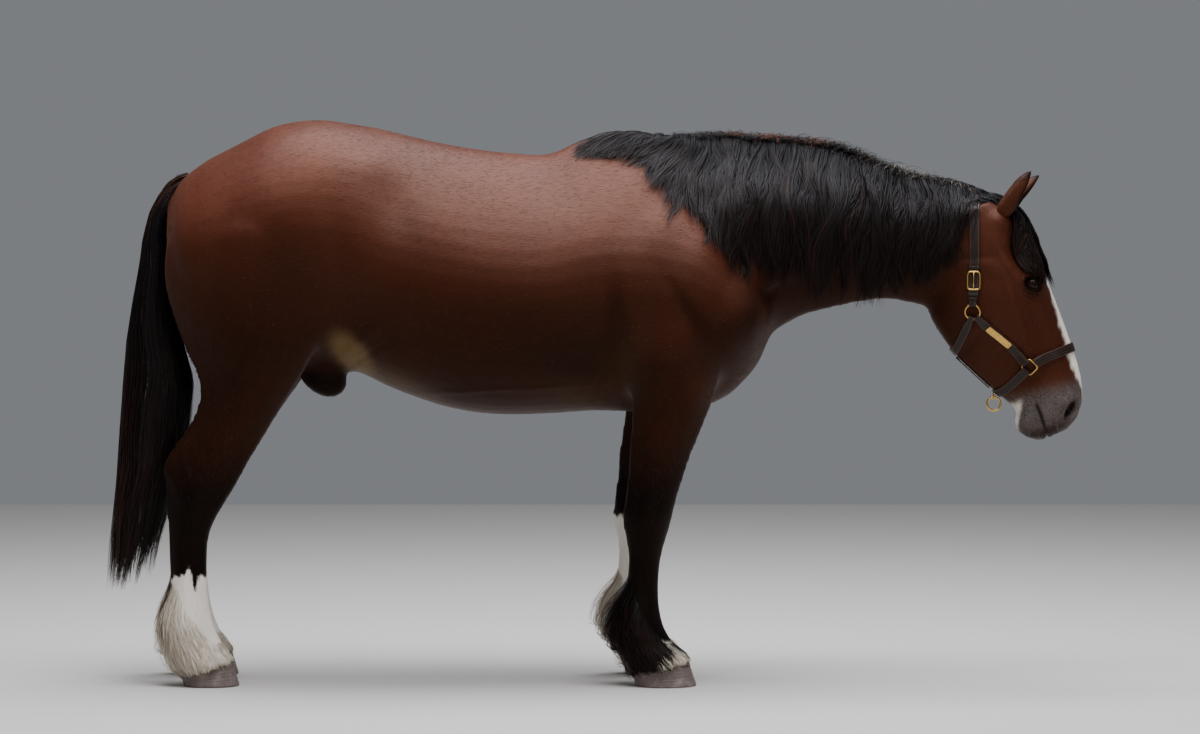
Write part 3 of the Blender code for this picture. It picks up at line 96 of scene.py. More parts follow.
FACE = (0.347, -0.938)
HEAD = [
    # down the face, top and bottom heights, half-widths at top, middle and bottom, fullness
    (0.000, -0.010, -0.200, 0.070, 0.085, 0.070, 0.9),
    (0.060, 0.032, -0.262, 0.090, 0.098, 0.085, 0.85),
    (0.130, 0.045, -0.300, 0.105, 0.104, 0.090, 0.8),
    (0.210, 0.048, -0.322, 0.120, 0.108, 0.088, 0.75),
    (0.285, 0.050, -0.330, 0.125, 0.108, 0.085, 0.75),
    (0.350, 0.053, -0.321, 0.104, 0.100, 0.078, 0.75),
    (0.420, 0.054, -0.294, 0.080, 0.086, 0.068, 0.75),
    (0.490, 0.054, -0.260, 0.068, 0.073, 0.060, 0.75),
    (0.555, 0.052, -0.226, 0.060, 0.066, 0.055, 0.8),
    (0.605, 0.047, -0.197, 0.060, 0.066, 0.055, 0.8),
    (0.640, 0.039, -0.182, 0.062, 0.070, 0.055, 0.8),
    (0.670, 0.029, -0.196, 0.063, 0.072, 0.056, 0.85),
    (0.695, 0.016, -0.199, 0.060, 0.070, 0.055, 0.9),
    (0.718, -0.002, -0.187, 0.054, 0.064, 0.050, 0.95),
    (0.738, -0.028, -0.168, 0.044, 0.052, 0.042, 1.0),
    (0.750, -0.055, -0.145, 0.028, 0.034, 0.028, 1.0),
]
FORELEG = [
    (0.440, 1.230, 0.110, 1.230, -0.165, 0.100, 0.130, 0.110, 1.0),
    (0.432, 1.080, 0.100, 1.060, -0.172, 0.090, 0.126, 0.105, 0.95),
    (0.395, 0.980, 0.103, 0.950, -0.178, 0.080, 0.112, 0.090, 0.95),
    (0.371, 0.890, 0.117, 0.880, -0.178, 0.066, 0.094, 0.070, 0.95),
    (0.345, 0.814, 0.116, 0.814, -0.176, 0.058, 0.082, 0.058, 0.95),
    (0.321, 0.753, 0.113, 0.753, -0.175, 0.052, 0.073, 0.050, 0.95),
    (0.296, 0.692, 0.107, 0.692, -0.175, 0.048, 0.066, 0.044, 0.95),
    (0.276, 0.631, 0.104, 0.631, -0.175, 0.047, 0.060, 0.040, 0.9),
    (0.261, 0.585, 0.098, 0.585, -0.175, 0.050, 0.060, 0.038, 0.85),
    (0.248, 0.535, 0.091, 0.535, -0.175, 0.056, 0.064, 0.036, 0.8),
    (0.237, 0.490, 0.090, 0.492, -0.175, 0.055, 0.062, 0.036, 0.8),
    (0.224, 0.448, 0.100, 0.448, -0.175, 0.046, 0.053, 0.036, 0.85),
    (0.212, 0.402, 0.107, 0.402, -0.175, 0.038, 0.044, 0.034, 0.9),
    (0.204, 0.341, 0.105, 0.341, -0.175, 0.036, 0.042, 0.034, 0.9),
    (0.202, 0.280, 0.097, 0.280, -0.175, 0.038, 0.044, 0.036, 0.9),
    (0.207, 0.228, 0.078, 0.222, -0.175, 0.046, 0.055, 0.044, 0.9),
    (0.217, 0.186, 0.073, 0.172, -0.175, 0.050, 0.059, 0.048, 0.9),
    (0.238, 0.146, 0.098, 0.120, -0.175, 0.048, 0.055, 0.046, 0.9),
    (0.268, 0.105, 0.138, 0.060, -0.175, 0.052, 0.062, 0.054, 0.9),
    (0.292, 0.076, 0.152, 0.036, -0.175, 0.058, 0.070, 0.061, 0.85),
]
HINDLEG = [
    (-0.830, 1.560, -1.150, 1.530, -0.140, 0.070, 0.090, 0.060, 0.95),
    (-0.762, 1.400, -1.290, 1.390, -0.165, 0.145, 0.176, 0.120, 0.9),
    (-0.778, 1.290, -1.311, 1.290, -0.167, 0.140, 0.172, 0.120, 0.9),
    (-0.792, 1.180, -1.303, 1.205, -0.168, 0.128, 0.160, 0.108, 0.9),
    (-0.814, 1.085, -1.276, 1.110, -0.170, 0.112, 0.146, 0.096, 0.9),
    (-0.850, 1.020, -1.242, 1.018, -0.172, 0.096, 0.130, 0.082, 0.9),
    (-0.888, 0.952, -1.212, 0.955, -0.175, 0.080, 0.112, 0.070, 0.9),
    (-0.928, 0.887, -1.203, 0.888, -0.178, 0.070, 0.096, 0.058, 0.9),
    (-0.974, 0.814, -1.222, 0.826, -0.179, 0.062, 0.082, 0.046, 0.9),
    (-1.020, 0.738, -1.256, 0.768, -0.179, 0.056, 0.072, 0.038, 0.9),
    (-1.059, 0.672, -1.294, 0.716, -0.178, 0.054, 0.066, 0.034, 0.85),
    (-1.090, 0.616, -1.314, 0.672, -0.177, 0.056, 0.065, 0.032, 0.8),
    (-1.122, 0.563, -1.311, 0.612, -0.176, 0.055, 0.063, 0.033, 0.8),
    (-1.154, 0.508, -1.305, 0.540, -0.175, 0.049, 0.057, 0.036, 0.85),
    (-1.174, 0.454, -1.300, 0.468, -0.175, 0.042, 0.049, 0.037, 0.9),
    (-1.179, 0.387, -1.298, 0.393, -0.175, 0.040, 0.046, 0.037, 0.9),
    (-1.178, 0.312, -1.296, 0.312, -0.175, 0.041, 0.047, 0.038, 0.9),
    (-1.172, 0.248, -1.307, 0.240, -0.175, 0.047, 0.055, 0.043, 0.9),
    (-1.162, 0.200, -1.316, 0.180, -0.175, 0.052, 0.061, 0.048, 0.9),
    (-1.143, 0.150, -1.290, 0.115, -0.175, 0.049, 0.056, 0.046, 0.9),
    (-1.117, 0.105, -1.262, 0.055, -0.175, 0.056, 0.066, 0.056, 0.9),
    (-1.104, 0.078, -1.252, 0.036, -0.175, 0.061, 0.073, 0.065, 0.85),
]
MUSCLES = [
    # x, z, long radius, short radius, degrees from level, height: ovals seen from the side
    (0.250, 1.060, 0.130, 0.090, 60, 0.016),  # triceps
    (0.445, 1.100, 0.090, 0.060, 70, 0.014),  # point of the shoulder
    (0.330, 1.330, 0.220, 0.060, 60, 0.008),  # shoulder blade
    (0.306, 1.130, 0.120, 0.020, -54, -0.010),  # in front of the triceps
    (0.195, 0.945, 0.065, 0.035, 0, -0.007),  # over the elbow
    (0.322, 0.925, 0.060, 0.040, 80, 0.007),  # top of the forearm
    (0.395, 1.200, 0.100, 0.040, -52, 0.005),  # between the triceps and the point of the shoulder
    (0.470, 1.330, 0.200, 0.040, 62, -0.009),  # between the shoulder and the neck
    (0.082, 1.075, 0.160, 0.028, 98, -0.013),  # behind the triceps
    (0.180, 1.480, 0.120, 0.060, 55, -0.008),  # under the withers
    (0.330, 0.900, 0.080, 0.040, 75, 0.008),  # forearm
    (-0.668, 1.590, 0.080, 0.050, 0, 0.008),  # point of the hip
    (-0.600, 1.470, 0.100, 0.060, 100, -0.014),  # hollow of the flank
    (-0.760, 1.230, 0.200, 0.045, 96, -0.010),  # in front of the thigh
    (-0.850, 1.110, 0.100, 0.070, 60, 0.012),  # stifle
    (-1.000, 1.440, 0.230, 0.140, 150, 0.008),  # rump
    (-1.160, 1.200, 0.200, 0.026, 75, -0.006),  # along the hamstring
    (-1.220, 1.250, 0.180, 0.060, 80, 0.008),  # hamstring
    (-1.000, 0.860, 0.140, 0.050, 62, 0.006),  # gaskin
    (0.700, 1.420, 0.250, 0.080, 155, 0.008),  # top of the neck
    (0.780, 1.260, 0.300, 0.028, 14, -0.008),  # groove over the throat
    (-0.250, 1.180, 0.400, 0.200, 0, 0.006),  # barrel
]
FOLDS = [
    # the same for what is too fine for the solids: tendons, joints, veins and creases
    (0.205, 0.940, 0.070, 0.030, 62, 0.005),  # head of the forearm
    (0.270, 0.860, 0.110, 0.010, 80, -0.004),  # between the forearm's two bellies
    (0.152, 0.335, 0.100, 0.010, 92, -0.005),  # in front of the flexor tendon
    (0.118, 0.335, 0.110, 0.009, 92, 0.003),  # flexor tendon
    (0.175, 0.520, 0.050, 0.030, 90, 0.004),  # knee
    (0.110, 0.525, 0.025, 0.016, 90, 0.004),  # pisiform at the back of the knee
    (0.140, 0.200, 0.035, 0.032, 90, 0.005),  # fetlock
    (-1.215, 0.560, 0.050, 0.030, 105, 0.005),  # hock
    (-1.285, 0.640, 0.060, 0.016, 108, 0.005),  # point of the hock
    (-1.240, 0.640, 0.090, 0.012, 112, -0.006),  # in front of the Achilles tendon
    (-1.232, 0.350, 0.100, 0.010, 90, -0.005),  # in front of the hind flexor tendon
    (-1.240, 0.200, 0.035, 0.034, 90, 0.005),  # hind fetlock
    (-1.090, 0.960, 0.170, 0.014, 62, -0.005),  # along the gaskin
    (-0.930, 1.060, 0.100, 0.007, 70, 0.003),  # vein inside the thigh
    (-0.300, 0.905, 0.260, 0.007, 3, 0.003),  # vein along the belly
    (0.020, 0.930, 0.070, 0.006, 60, -0.003),  # elbow crease
    (0.000, 0.960, 0.060, 0.005, 52, -0.003),
    (0.045, 0.900, 0.060, 0.005, 68, -0.003),
    (-0.700, 1.060, 0.110, 0.016, 40, 0.006),  # fold of the flank
    (-0.690, 1.010, 0.090, 0.008, 35, -0.004),
    (0.530, 1.180, 0.070, 0.007, 35, -0.003),  # creases of the chest
    (0.560, 1.215, 0.070, 0.007, 32, -0.003),
]
HEAD_FORMS = [
    # down the face, over it, long and short radius, degrees, height
    (0.290, -0.200, 0.105, 0.085, 80, 0.012),  # cheek
    (0.262, 0.004, 0.050, 0.030, 0, 0.013),  # brow
    (0.185, -0.018, 0.040, 0.026, 0, -0.012),  # hollow over the eye
    (0.370, -0.084, 0.115, 0.013, -2, 0.012),  # ridge of the cheekbone
    (0.430, -0.030, 0.110, 0.024, -4, -0.008),  # over the ridge
    (0.470, -0.150, 0.085, 0.034, 20, -0.009),  # between the jaw and the mouth
    (0.650, -0.018, 0.050, 0.034, -20, 0.009),  # wing of the nostril
    (0.610, -0.080, 0.040, 0.030, 0, 0.006),  # side of the muzzle
    (0.120, -0.060, 0.060, 0.040, 90, 0.006),  # below the ear
    (0.066, -0.030, 0.034, 0.030, 0, 0.014),  # round the ear's root
    (0.215, -0.056, 0.066, 0.012, 10, 0.008),  # arch from the eye to the ear
    (0.190, -0.110, 0.060, 0.030, 40, 0.006),  # jaw's joint
    (0.385, -0.235, 0.014, 0.090, 30, -0.005),  # front edge of the cheek
    (0.445, -0.128, 0.075, 0.0045, -62, 0.0032),  # vein over the cheek
    (0.470, -0.100, 0.050, 0.004, -20, 0.0028),
    (0.500, -0.060, 0.040, 0.004, 35, 0.0024),
    (0.430, -0.170, 0.060, 0.004, -80, 0.0020),
    (0.350, -0.036, 0.040, 0.006, -6, -0.0020),  # tear line
    (0.246, 0.020, 0.034, 0.0040, 42, -0.0034),  # wrinkles over the eye
    (0.238, 0.032, 0.030, 0.0040, 48, -0.0028),
    (0.230, 0.014, 0.026, 0.0040, 40, -0.0020),
    (0.316, -0.030, 0.028, 0.0035, 44, -0.0028),  # wrinkles under the eye
    (0.326, -0.038, 0.026, 0.0035, 46, -0.0018),
    (0.621, -0.112, 0.020, 0.0035, 60, -0.0024),  # folds at the corner of the mouth
    (0.610, -0.118, 0.022, 0.0035, 72, -0.0022),
    (0.640, -0.060, 0.030, 0.004, -70, -0.0016),  # folds behind the nostril
    (0.626, -0.052, 0.030, 0.004, -74, -0.0014),
    (0.668, -0.178, 0.028, 0.020, 0, 0.006),  # chin
    (0.690, -0.148, 0.030, 0.006, -12, -0.003),  # between the lower lip and the chin
    (0.520, -0.008, 0.120, 0.010, -2, 0.006),  # edge of the nasal bone
    (0.130, -0.190, 0.080, 0.012, 70, -0.006),  # behind the jaw
]
EYE = (0.285, -0.006, 0.092)  # down the face, over it, and out from the middle
EYE_RADIUS = 0.021
EYE_TILT = 42
NOSTRIL = (0.686, -0.026, -52)  # down the face, over it, and the slit's tilt
MOUTH_FROM, MOUTH_OVER = 0.636, -0.119
SHEATH_X = -0.838


def spline(knots, values, at):
    """A cubic Hermite curve through the values, with slopes taken between neighbours."""
    knots, values = np.asarray(knots, float), np.asarray(values, float)
    slopes = np.gradient(values, knots, axis=0)
    i = np.clip(np.searchsorted(knots, at, side="right") - 1, 0, len(knots) - 2)
    span = (knots[i + 1] - knots[i])[:, None]
    t = (at - knots[i])[:, None] / span
    return (
        (2 * t**3 - 3 * t**2 + 1) * values[i]
        + (t**3 - 2 * t**2 + t) * span * slopes[i]
        + (3 * t**2 - 2 * t**3) * values[i + 1]
        + (t**3 - t**2) * span * slopes[i + 1]
    )


def turns(count):
    """Angles evenly round a circle."""
    return np.arange(count) * 2 * math.pi / count


def run_of(points):
    """How far along a path each of its points lies."""
    return np.concatenate([[0], np.cumsum(np.linalg.norm(np.diff(points, axis=0), axis=1))])


def ring_quads(rows, around, start=0):
    """Quads between neighbouring rings of a tube."""
    r, k = np.meshgrid(np.arange(rows - 1), np.arange(around), indexing="ij")
    m = (k + 1) % around
    corners = [r * around + k, r * around + m, (r + 1) * around + m, (r + 1) * around + k]
    return start + np.stack(corners, axis=-1).reshape(-1, 4)


def powered(values, power):
    """Values to a power with their signs kept: under 1 it squares a circle's corners."""
    return np.sign(values) * np.abs(values) ** power


def loft(stations, step, around):
    """Rings between two rails: x and z go round a half-cosine from one rail to the other, and y
    is a parabola through the three half-widths times the sine, to a power under 1 where full."""
    rows = np.array(stations, float)
    along = run_of((rows[:, 0:2] + rows[:, 2:4]) / 2)
    count = max(3, round(along[-1] / step))
    row = spline(along, rows, np.linspace(0, along[-1], count))
    angle = turns(around)
    height = (1 - np.cos(angle)) / 2
    near, half, far = row[:, 5:6], row[:, 6:7], row[:, 7:8]
    h = (height - 0.5) / 0.35
    width = half + (far - near) / 2 * h + ((near + far) / 2 - half) * h * h
    width = np.maximum(width, 0.25 * half)
    x = row[:, 0:1] + (row[:, 2:3] - row[:, 0:1]) * height
    y = row[:, 4:5] + width * powered(np.sin(angle), row[:, 8:9])
    z = row[:, 1:2] + (row[:, 3:4] - row[:, 1:2]) * height
    return np.stack([x, y, z], axis=-1)


def left_leg(stations, back):
    """A right leg's rails mirrored, and set back below the body."""
    rows = np.array(stations, float)
    share = np.clip((LEG_TOP - rows[:, 1]) / LEG_FADE, 0, 1)
    rows[:, 0] -= back * share
    rows[:, 2] -= back * share
    rows[:, 4] *= -1
    return rows


def from_head(down, over):
    """The x and z of a place on the head."""
    return POLL[0] + down * FACE[0] - over * FACE[1], POLL[1] + down * FACE[1] + over * FACE[0]


def to_head(points):
    """How far down the face, and how high over it, each point is."""
    dx, dz = points[..., 0] - POLL[0], points[..., 2] - POLL[1]
    return dx * FACE[0] + dz * FACE[1], -dx * FACE[1] + dz * FACE[0]


def read(items, field, width, kind=float):
    """The values of one field of a mesh's vertices, edges or corners, a row for each."""
    values = np.empty(len(items) * width, kind)
    items.foreach_get(field, values)
    return values.reshape(-1, width)


def coordinates(mesh):
    """Where a mesh's vertices are."""
    return read(mesh.vertices, "co", 3)


def set_coordinates(mesh, points):
    """Moves a mesh's vertices."""
    mesh.vertices.foreach_set("co", points.ravel())
    mesh.update()


def normals(mesh):
    """The ways a mesh faces at its vertices."""
    return read(mesh.vertex_normals, "vector", 3)


def turned(u, v, degrees):
    """Two lengths measured along axes turned by some degrees: sums of each times the turn's
    cosine and sine."""
    c, s = math.cos(math.radians(degrees)), math.sin(math.radians(degrees))
    return u * c + v * s, v * c - u * s


def oval(du, dv, long, short, degrees):
    """A bump of height 1 that fades over an oval turned by some degrees."""
    along, across = turned(du, dv, degrees)
    return np.exp(-((along / long) ** 2) - (across / short) ** 2)


def ovals(rows, u, v):
    """The sum of ovals, each at a place, with two radii, a turn and a height."""
    return sum(
        height * oval(u - at_u, v - at_v, long, short, degrees)
        for at_u, at_v, long, short, degrees, height in rows
    )


def ramp(value, low, high):
    """0 below low, 1 above high, and a smooth step between them."""
    t = np.clip((value - low) / (high - low), 0, 1)
    return t * t * (3 - 2 * t)


def placed(name, data):
    """An object in the scene for a mesh, lamp or camera."""
    made = bpy.data.objects.new(name, data)
    bpy.context.scene.collection.objects.link(made)
    return made


def settled(made):
    """The mesh that an object's modifiers make, in place of the object and its own mesh."""
    graph = bpy.context.evaluated_depsgraph_get()
    mesh = bpy.data.meshes.new_from_object(made.evaluated_get(graph))
    rough = made.data
    bpy.data.objects.remove(made)
    bpy.data.meshes.remove(rough)
    return mesh


def fused(name, parts, cell):
    """One closed skin round overlapping tubes, each closed by a face at both ends."""
    points, faces, start = [], [], 0
    for part in parts:
        rows, around, _ = part.shape
        faces += ring_quads(rows, around, start).tolist()
        faces.append([start + k for k in reversed(range(around))])
        faces.append([start + (rows - 1) * around + k for k in range(around)])
        points.append(part.reshape(-1, 3))
        start += rows * around
    rough = bpy.data.meshes.new(name)
    rough.from_pydata(np.concatenate(points).tolist(), [], faces)
    work = bmesh.new()
    work.from_mesh(rough)
    bmesh.ops.recalc_face_normals(work, faces=work.faces)
    work.to_mesh(rough)
    work.free()
    made = placed(name, rough)
    remesh = made.modifiers.new("skin", "REMESH")
    remesh.mode = "VOXEL"
    remesh.voxel_size = cell
    return settled(made)


def neighbours_mean(mesh):
    """A function that gives the mean of each vertex's neighbours."""
    ends = read(mesh.edges, "vertices", 2, int)
    a, b = ends.T
    count = np.bincount(ends.ravel(), minlength=len(mesh.vertices))[:, None]

    def mean(points):
        total = [
            np.bincount(a, points[b, axis], len(points)) + np.bincount(b, points[a, axis], len(points))
            for axis in range(3)
        ]
        return np.stack(total, axis=1) / count

    return mean


def relaxed(mesh, fillets, smooths, share):
    """Fills creases by moving only hollow places out, then smooths without shrinking; share says
    how much of each step a vertex takes."""
    mean = neighbours_mean(mesh)
    points, share = coordinates(mesh), share[:, None]
    for _ in range(fillets):
        out = normals(mesh)
        rise = np.einsum("ij,ij->i", mean(points) - points, out)[:, None]
        points = points + out * np.maximum(rise, 0) * share
        set_coordinates(mesh, points)
    for _ in range(smooths):
        for step in (0.5, -0.53):
            points = points + step * share * (mean(points) - points)
    set_coordinates(mesh, points)


def refined(mesh, chosen):
    """Splits in four every face whose corners are all chosen."""
    mask = chosen(coordinates(mesh))
    work = bmesh.new()
    work.from_mesh(mesh)
    work.verts.ensure_lookup_table()
    edges = {e for f in work.faces if all(mask[v.index] for v in f.verts) for e in f.edges}
    bmesh.ops.subdivide_edges(work, edges=list(edges), cuts=1, use_grid_fill=True)
    work.to_mesh(mesh)
    work.free()


def egg(centre, radii, tilt):
    """Rings of an ellipsoid from pole to pole along y, turned by some degrees in the side view."""
    lat, lon = np.linspace(-1.45, 1.45, 14)[:, None], turns(24)
    x, z = radii[0] * np.cos(lat) * np.cos(lon), radii[2] * np.cos(lat) * np.sin(lon)
    y = radii[1] * np.sin(lat) + 0 * lon
    x, z = turned(x, z, -tilt)
    return np.stack([centre[0] + x, centre[1] + y, centre[2] + z], axis=-1)


def on_head(points):
    """1 on the head and 0 from the neck back."""
    down, _ = to_head(points)
    return ramp(points[:, 0], 1.02, 1.14) * ramp(down, -0.10, 0.02)


head_rails = [
    (*from_head(s, top), *from_head(s, low), 0, near, half, far, full)
    for s, top, low, near, half, far, full in HEAD
]
leg_rails = {
    "fore_right": np.array(FORELEG),
    "hind_right": np.array(HINDLEG),
    "fore_left": left_leg(FORELEG, LEFT_FORE_BACK),
    "hind_left": left_leg(HINDLEG, LEFT_HIND_BACK),
}
parts = [loft(TRUNK, 0.02, 48), loft(NECK, 0.02, 40), loft(head_rails, 0.010, 48)]
parts += [loft(rails, 0.014, 32) for rails in leg_rails.values()]
parts.append(egg((SHEATH_X, 0, 0.948), (0.085, 0.050, 0.062), -38))
skin = fused("skin", parts, SKIN_CELL)
points = coordinates(skin)
head_share = on_head(points)
relaxed(skin, 6, 4, np.ones(len(points)))
feet = ramp(-points[:, 2], -0.50, -0.40)
relaxed(skin, 26, 10, (1 - head_share) * (1 - 0.85 * feet))

points, out = coordinates(skin), normals(skin)
level = points[:, 2]
back = np.where(points[:, 0] < -0.4, LEFT_HIND_BACK, LEFT_FORE_BACK)
across_x = points[:, 0] + (points[:, 1] > 0) * back * np.clip((LEG_TOP - level) / LEG_FADE, 0, 1)
rise = ovals(MUSCLES + FOLDS, across_x, level)
rise += 0.0012 * np.sin(points[:, 0] * 23 + level * 9) * np.sin(level * 17 - points[:, 0] * 6)
rise *= np.sqrt(np.abs(out[:, 1]))
croup = np.exp(-((points[:, 1] / 0.03) ** 2)) * (level > 1.5)
rise -= 0.012 * croup * ramp(-points[:, 0], 0.66, 0.80)
chest = np.exp(-((points[:, 1] / 0.025) ** 2)) * ramp(points[:, 0], 0.42, 0.50)
rise -= 0.014 * chest * ramp(-level, -1.14, -1.04)
rise *= 1 - on_head(points)
set_coordinates(skin, points + out * (rise - DEPTH)[:, None])


def thinned(mesh, share, ratio):
    """Fewer faces where share is 1: collapses the edges that change the form least."""
    made = placed("thinned", mesh)
    group = made.vertex_groups.new(name="thinned")
    group.add(np.flatnonzero(share > 0.5).tolist(), 1.0, "REPLACE")
    thin = made.modifiers.new("thinned", "DECIMATE")
    thin.ratio = ratio
    thin.vertex_group = "thinned"
    return settled(made)


points = coordinates(skin)
skin = thinned(skin, (points[:, 2] > 0.72) & (on_head(points) < 0.02), 0.55)
skin.name = "skin"

# The head's own forms are worked at half the cell, and the lids, nostrils and lips at a quarter.


def near_face(points):
    """Which points are the head's."""
    return on_head(points) > 0.5


def near_openings(points):
    """Which points are about an eye or on the muzzle, apart from the middle line."""
    down, over = to_head(points)
    eye = np.hypot(down - EYE[0], over - EYE[1]) < 0.052
    return near_face(points) & (eye | (down > 0.60)) & (np.abs(points[:, 1]) > 0.006)


FORE_SOCK, HIND_SOCK, RIGHT_HIND_SOCK = 0.500, 0.385, 0.338  # tops of the white
ABOVE_PATCH = 0.232


def near_sock(points):
    """Bands round the legs at the tops of the socks, so that the edge can be ragged, and one
    above the right fore's white patch."""
    fore, left = points[:, 0] > -0.4, points[:, 1] > 0
    right_line = np.where(fore, ABOVE_PATCH, RIGHT_HIND_SOCK)
    line = np.where(left, np.where(fore, FORE_SOCK, HIND_SOCK), right_line)
    return np.abs(points[:, 2] - line) < 0.034


refined(skin, lambda points: near_face(points) | near_sock(points))
relaxed(skin, 0, 3, on_head(coordinates(skin)))
refined(skin, near_openings)
relaxed(skin, 0, 2, near_openings(coordinates(skin)).astype(float))
points, out = coordinates(skin), normals(skin)
down, over = to_head(points)
side = np.sqrt(np.abs(out[:, 1]))
rise = ovals(HEAD_FORMS, down, over) * side
rise += 0.006 * side * oval(down - EYE[0], over - EYE[1], 0.034, 0.024, EYE_TILT)
rim = oval(down - NOSTRIL[0], over - NOSTRIL[1], 0.042, 0.022, NOSTRIL[2])
slit = ramp(oval(down - NOSTRIL[0], over - NOSTRIL[1], 0.036, 0.0125, NOSTRIL[2]), 0.25, 0.9)
rise += side * (0.010 * rim - 0.030 * slit)
lips = np.exp(-(((over - MOUTH_OVER) / 0.0035) ** 2))
rise -= 0.008 * lips * ramp(down, MOUTH_FROM - 0.004, MOUTH_FROM + 0.010)
swell = np.exp(-(((np.abs(over - MOUTH_OVER) - 0.011) / 0.007) ** 2))
rise += 0.002 * swell * ramp(down, MOUTH_FROM + 0.01, MOUTH_FROM + 0.03)
set_coordinates(skin, points + out * (rise * on_head(points))[:, None])
skin_tree = BVHTree.FromPolygons(coordinates(skin).tolist(), [list(f.vertices) for f in skin.polygons])


def struck(starts, ways):
    """Where rays meet the skin and the way it faces there, six numbers each, or not-a-numbers."""
    starts, ways = (np.reshape(each, (-1, 3)) for each in np.broadcast_arrays(starts, ways))
    found = [skin_tree.ray_cast(Vector(start), Vector(way))[:2] for start, way in zip(starts, ways)]
    return np.array([(*hit, *out) if hit else (math.nan,) * 6 for hit, out in found])


# Lids: folds of the skin that close round each eyeball to an almond slit. They follow the face
# at their outer edge and the eyeball, 2.4 mm clear of it, at the inner one, where they roll in.

LID_OUT = (0.041, 0.033)  # half-lengths of the outer edge, along the slit and across it
LID_IN = (0.0205, 0.0140)
LID_CLEAR = 0.0024  # between the eyeball and the lid
LID_ROLL = ((0.0019, 0.0004), (0.0009, 0.0007), (-0.0015, 0.0004))  # height over it, step inwards
LID_SKEW = (1.08, 0.92)  # how much fuller the upper lid is than the lower one


def eye_centre(side):
    """The middle of an eyeball."""
    x, z = from_head(EYE[0], EYE[1])
    return np.array([x, side * EYE[2], z])


def lids(side):
    """Rings from the face to the slit: the larger of the face's height and a ball's, with rounded
    meeting, then three rings that roll in over the eyeball."""
    rows, around = 14, 64
    t = np.concatenate([np.linspace(0, 1, rows), np.ones(len(LID_ROLL))])[:, None]
    a = turns(around)
    slit = 1 - 0.22 * np.cos(a) ** 2 * (1 - np.cos(a) ** 6)
    along = (LID_OUT[0] + (LID_IN[0] - LID_OUT[0]) * t) * np.cos(a)
    across = (LID_OUT[1] + (LID_IN[1] * slit - LID_OUT[1]) * t) * np.sin(a)
    across = across * np.where(np.sin(a) > 0, *LID_SKEW)
    down, over = turned(along, across, -EYE_TILT)
    x, z = from_head(EYE[0] + down, EYE[1] + over)
    hits = struck(np.stack([x, side * 0.3 + 0 * x, z], axis=-1), np.array([0, -side, 0]))
    face = np.abs(hits[:, 1]).reshape(x.shape)
    far = along**2 + across**2
    over_ball = EYE[2] + np.sqrt(np.maximum((EYE_RADIUS + LID_CLEAR) ** 2 - far, 1e-7))
    over_ball = over_ball - 2 * np.maximum(np.sqrt(far) - EYE_RADIUS, 0)
    face = face - 0.012 * ramp(t, 0.35, 1.0)
    both = np.maximum(face, over_ball)
    both = both + 0.0012 * np.exp(-np.abs(face - over_ball) / 0.0025)
    crease = np.exp(-(((t - 0.60) / 0.07) ** 2)) * np.clip(np.sin(a), 0, 1) ** 0.5
    crease = crease + 0.6 * np.exp(-(((t - 0.66) / 0.06) ** 2)) * np.clip(-np.sin(a), 0, 1) ** 0.5
    wrinkle = np.exp(-(((t - 0.36) / 0.05) ** 2)) * np.clip(np.sin(a - 0.5), 0, 1)
    both = both - 0.0016 * crease - 0.0010 * wrinkle - 0.003 * (t < 0.01)
    middle = eye_centre(side)
    for k, (radius, inward) in enumerate(LID_ROLL):
        row = rows + k
        both[row] = EYE[2] + np.sqrt(np.maximum((EYE_RADIUS + radius) ** 2 - far[row], 1e-7))
        scale = 1 - inward * (k + 1) / np.sqrt(far[row])
        x[row] = middle[0] + (x[row] - middle[0]) * scale
        z[row] = middle[2] + (z[row] - middle[2]) * scale
    return np.stack([x, side * both, z], axis=-1)


def pushed_in(points):
    """The face under the lids, moved out of their way."""
    down, over = to_head(points)
    along, across = turned(down - EYE[0], over - EYE[1], EYE_TILT)
    across = across / np.where(across > 0, *LID_SKEW)
    inside = ramp(-np.hypot(along / LID_OUT[0], across / LID_OUT[1]), -0.95, -0.70)
    moved = points.copy()
    moved[:, 1] -= np.sign(points[:, 1]) * 0.022 * inside * (np.abs(points[:, 1]) > 0.03)
    return moved


# Ears: cupped leaves of gristle under short hair, thin at the rim. They open to the front and
# side, and are drawn in at the root, where they sink into the head.

EAR_TIPS = {-1: (1.343, -0.090, 1.577), 1: (1.389, 0.088, 1.569)}


def unit(vectors):
    """Vectors with their length made 1."""
    return vectors / np.maximum(np.linalg.norm(vectors, axis=-1, keepdims=True), 1e-9)


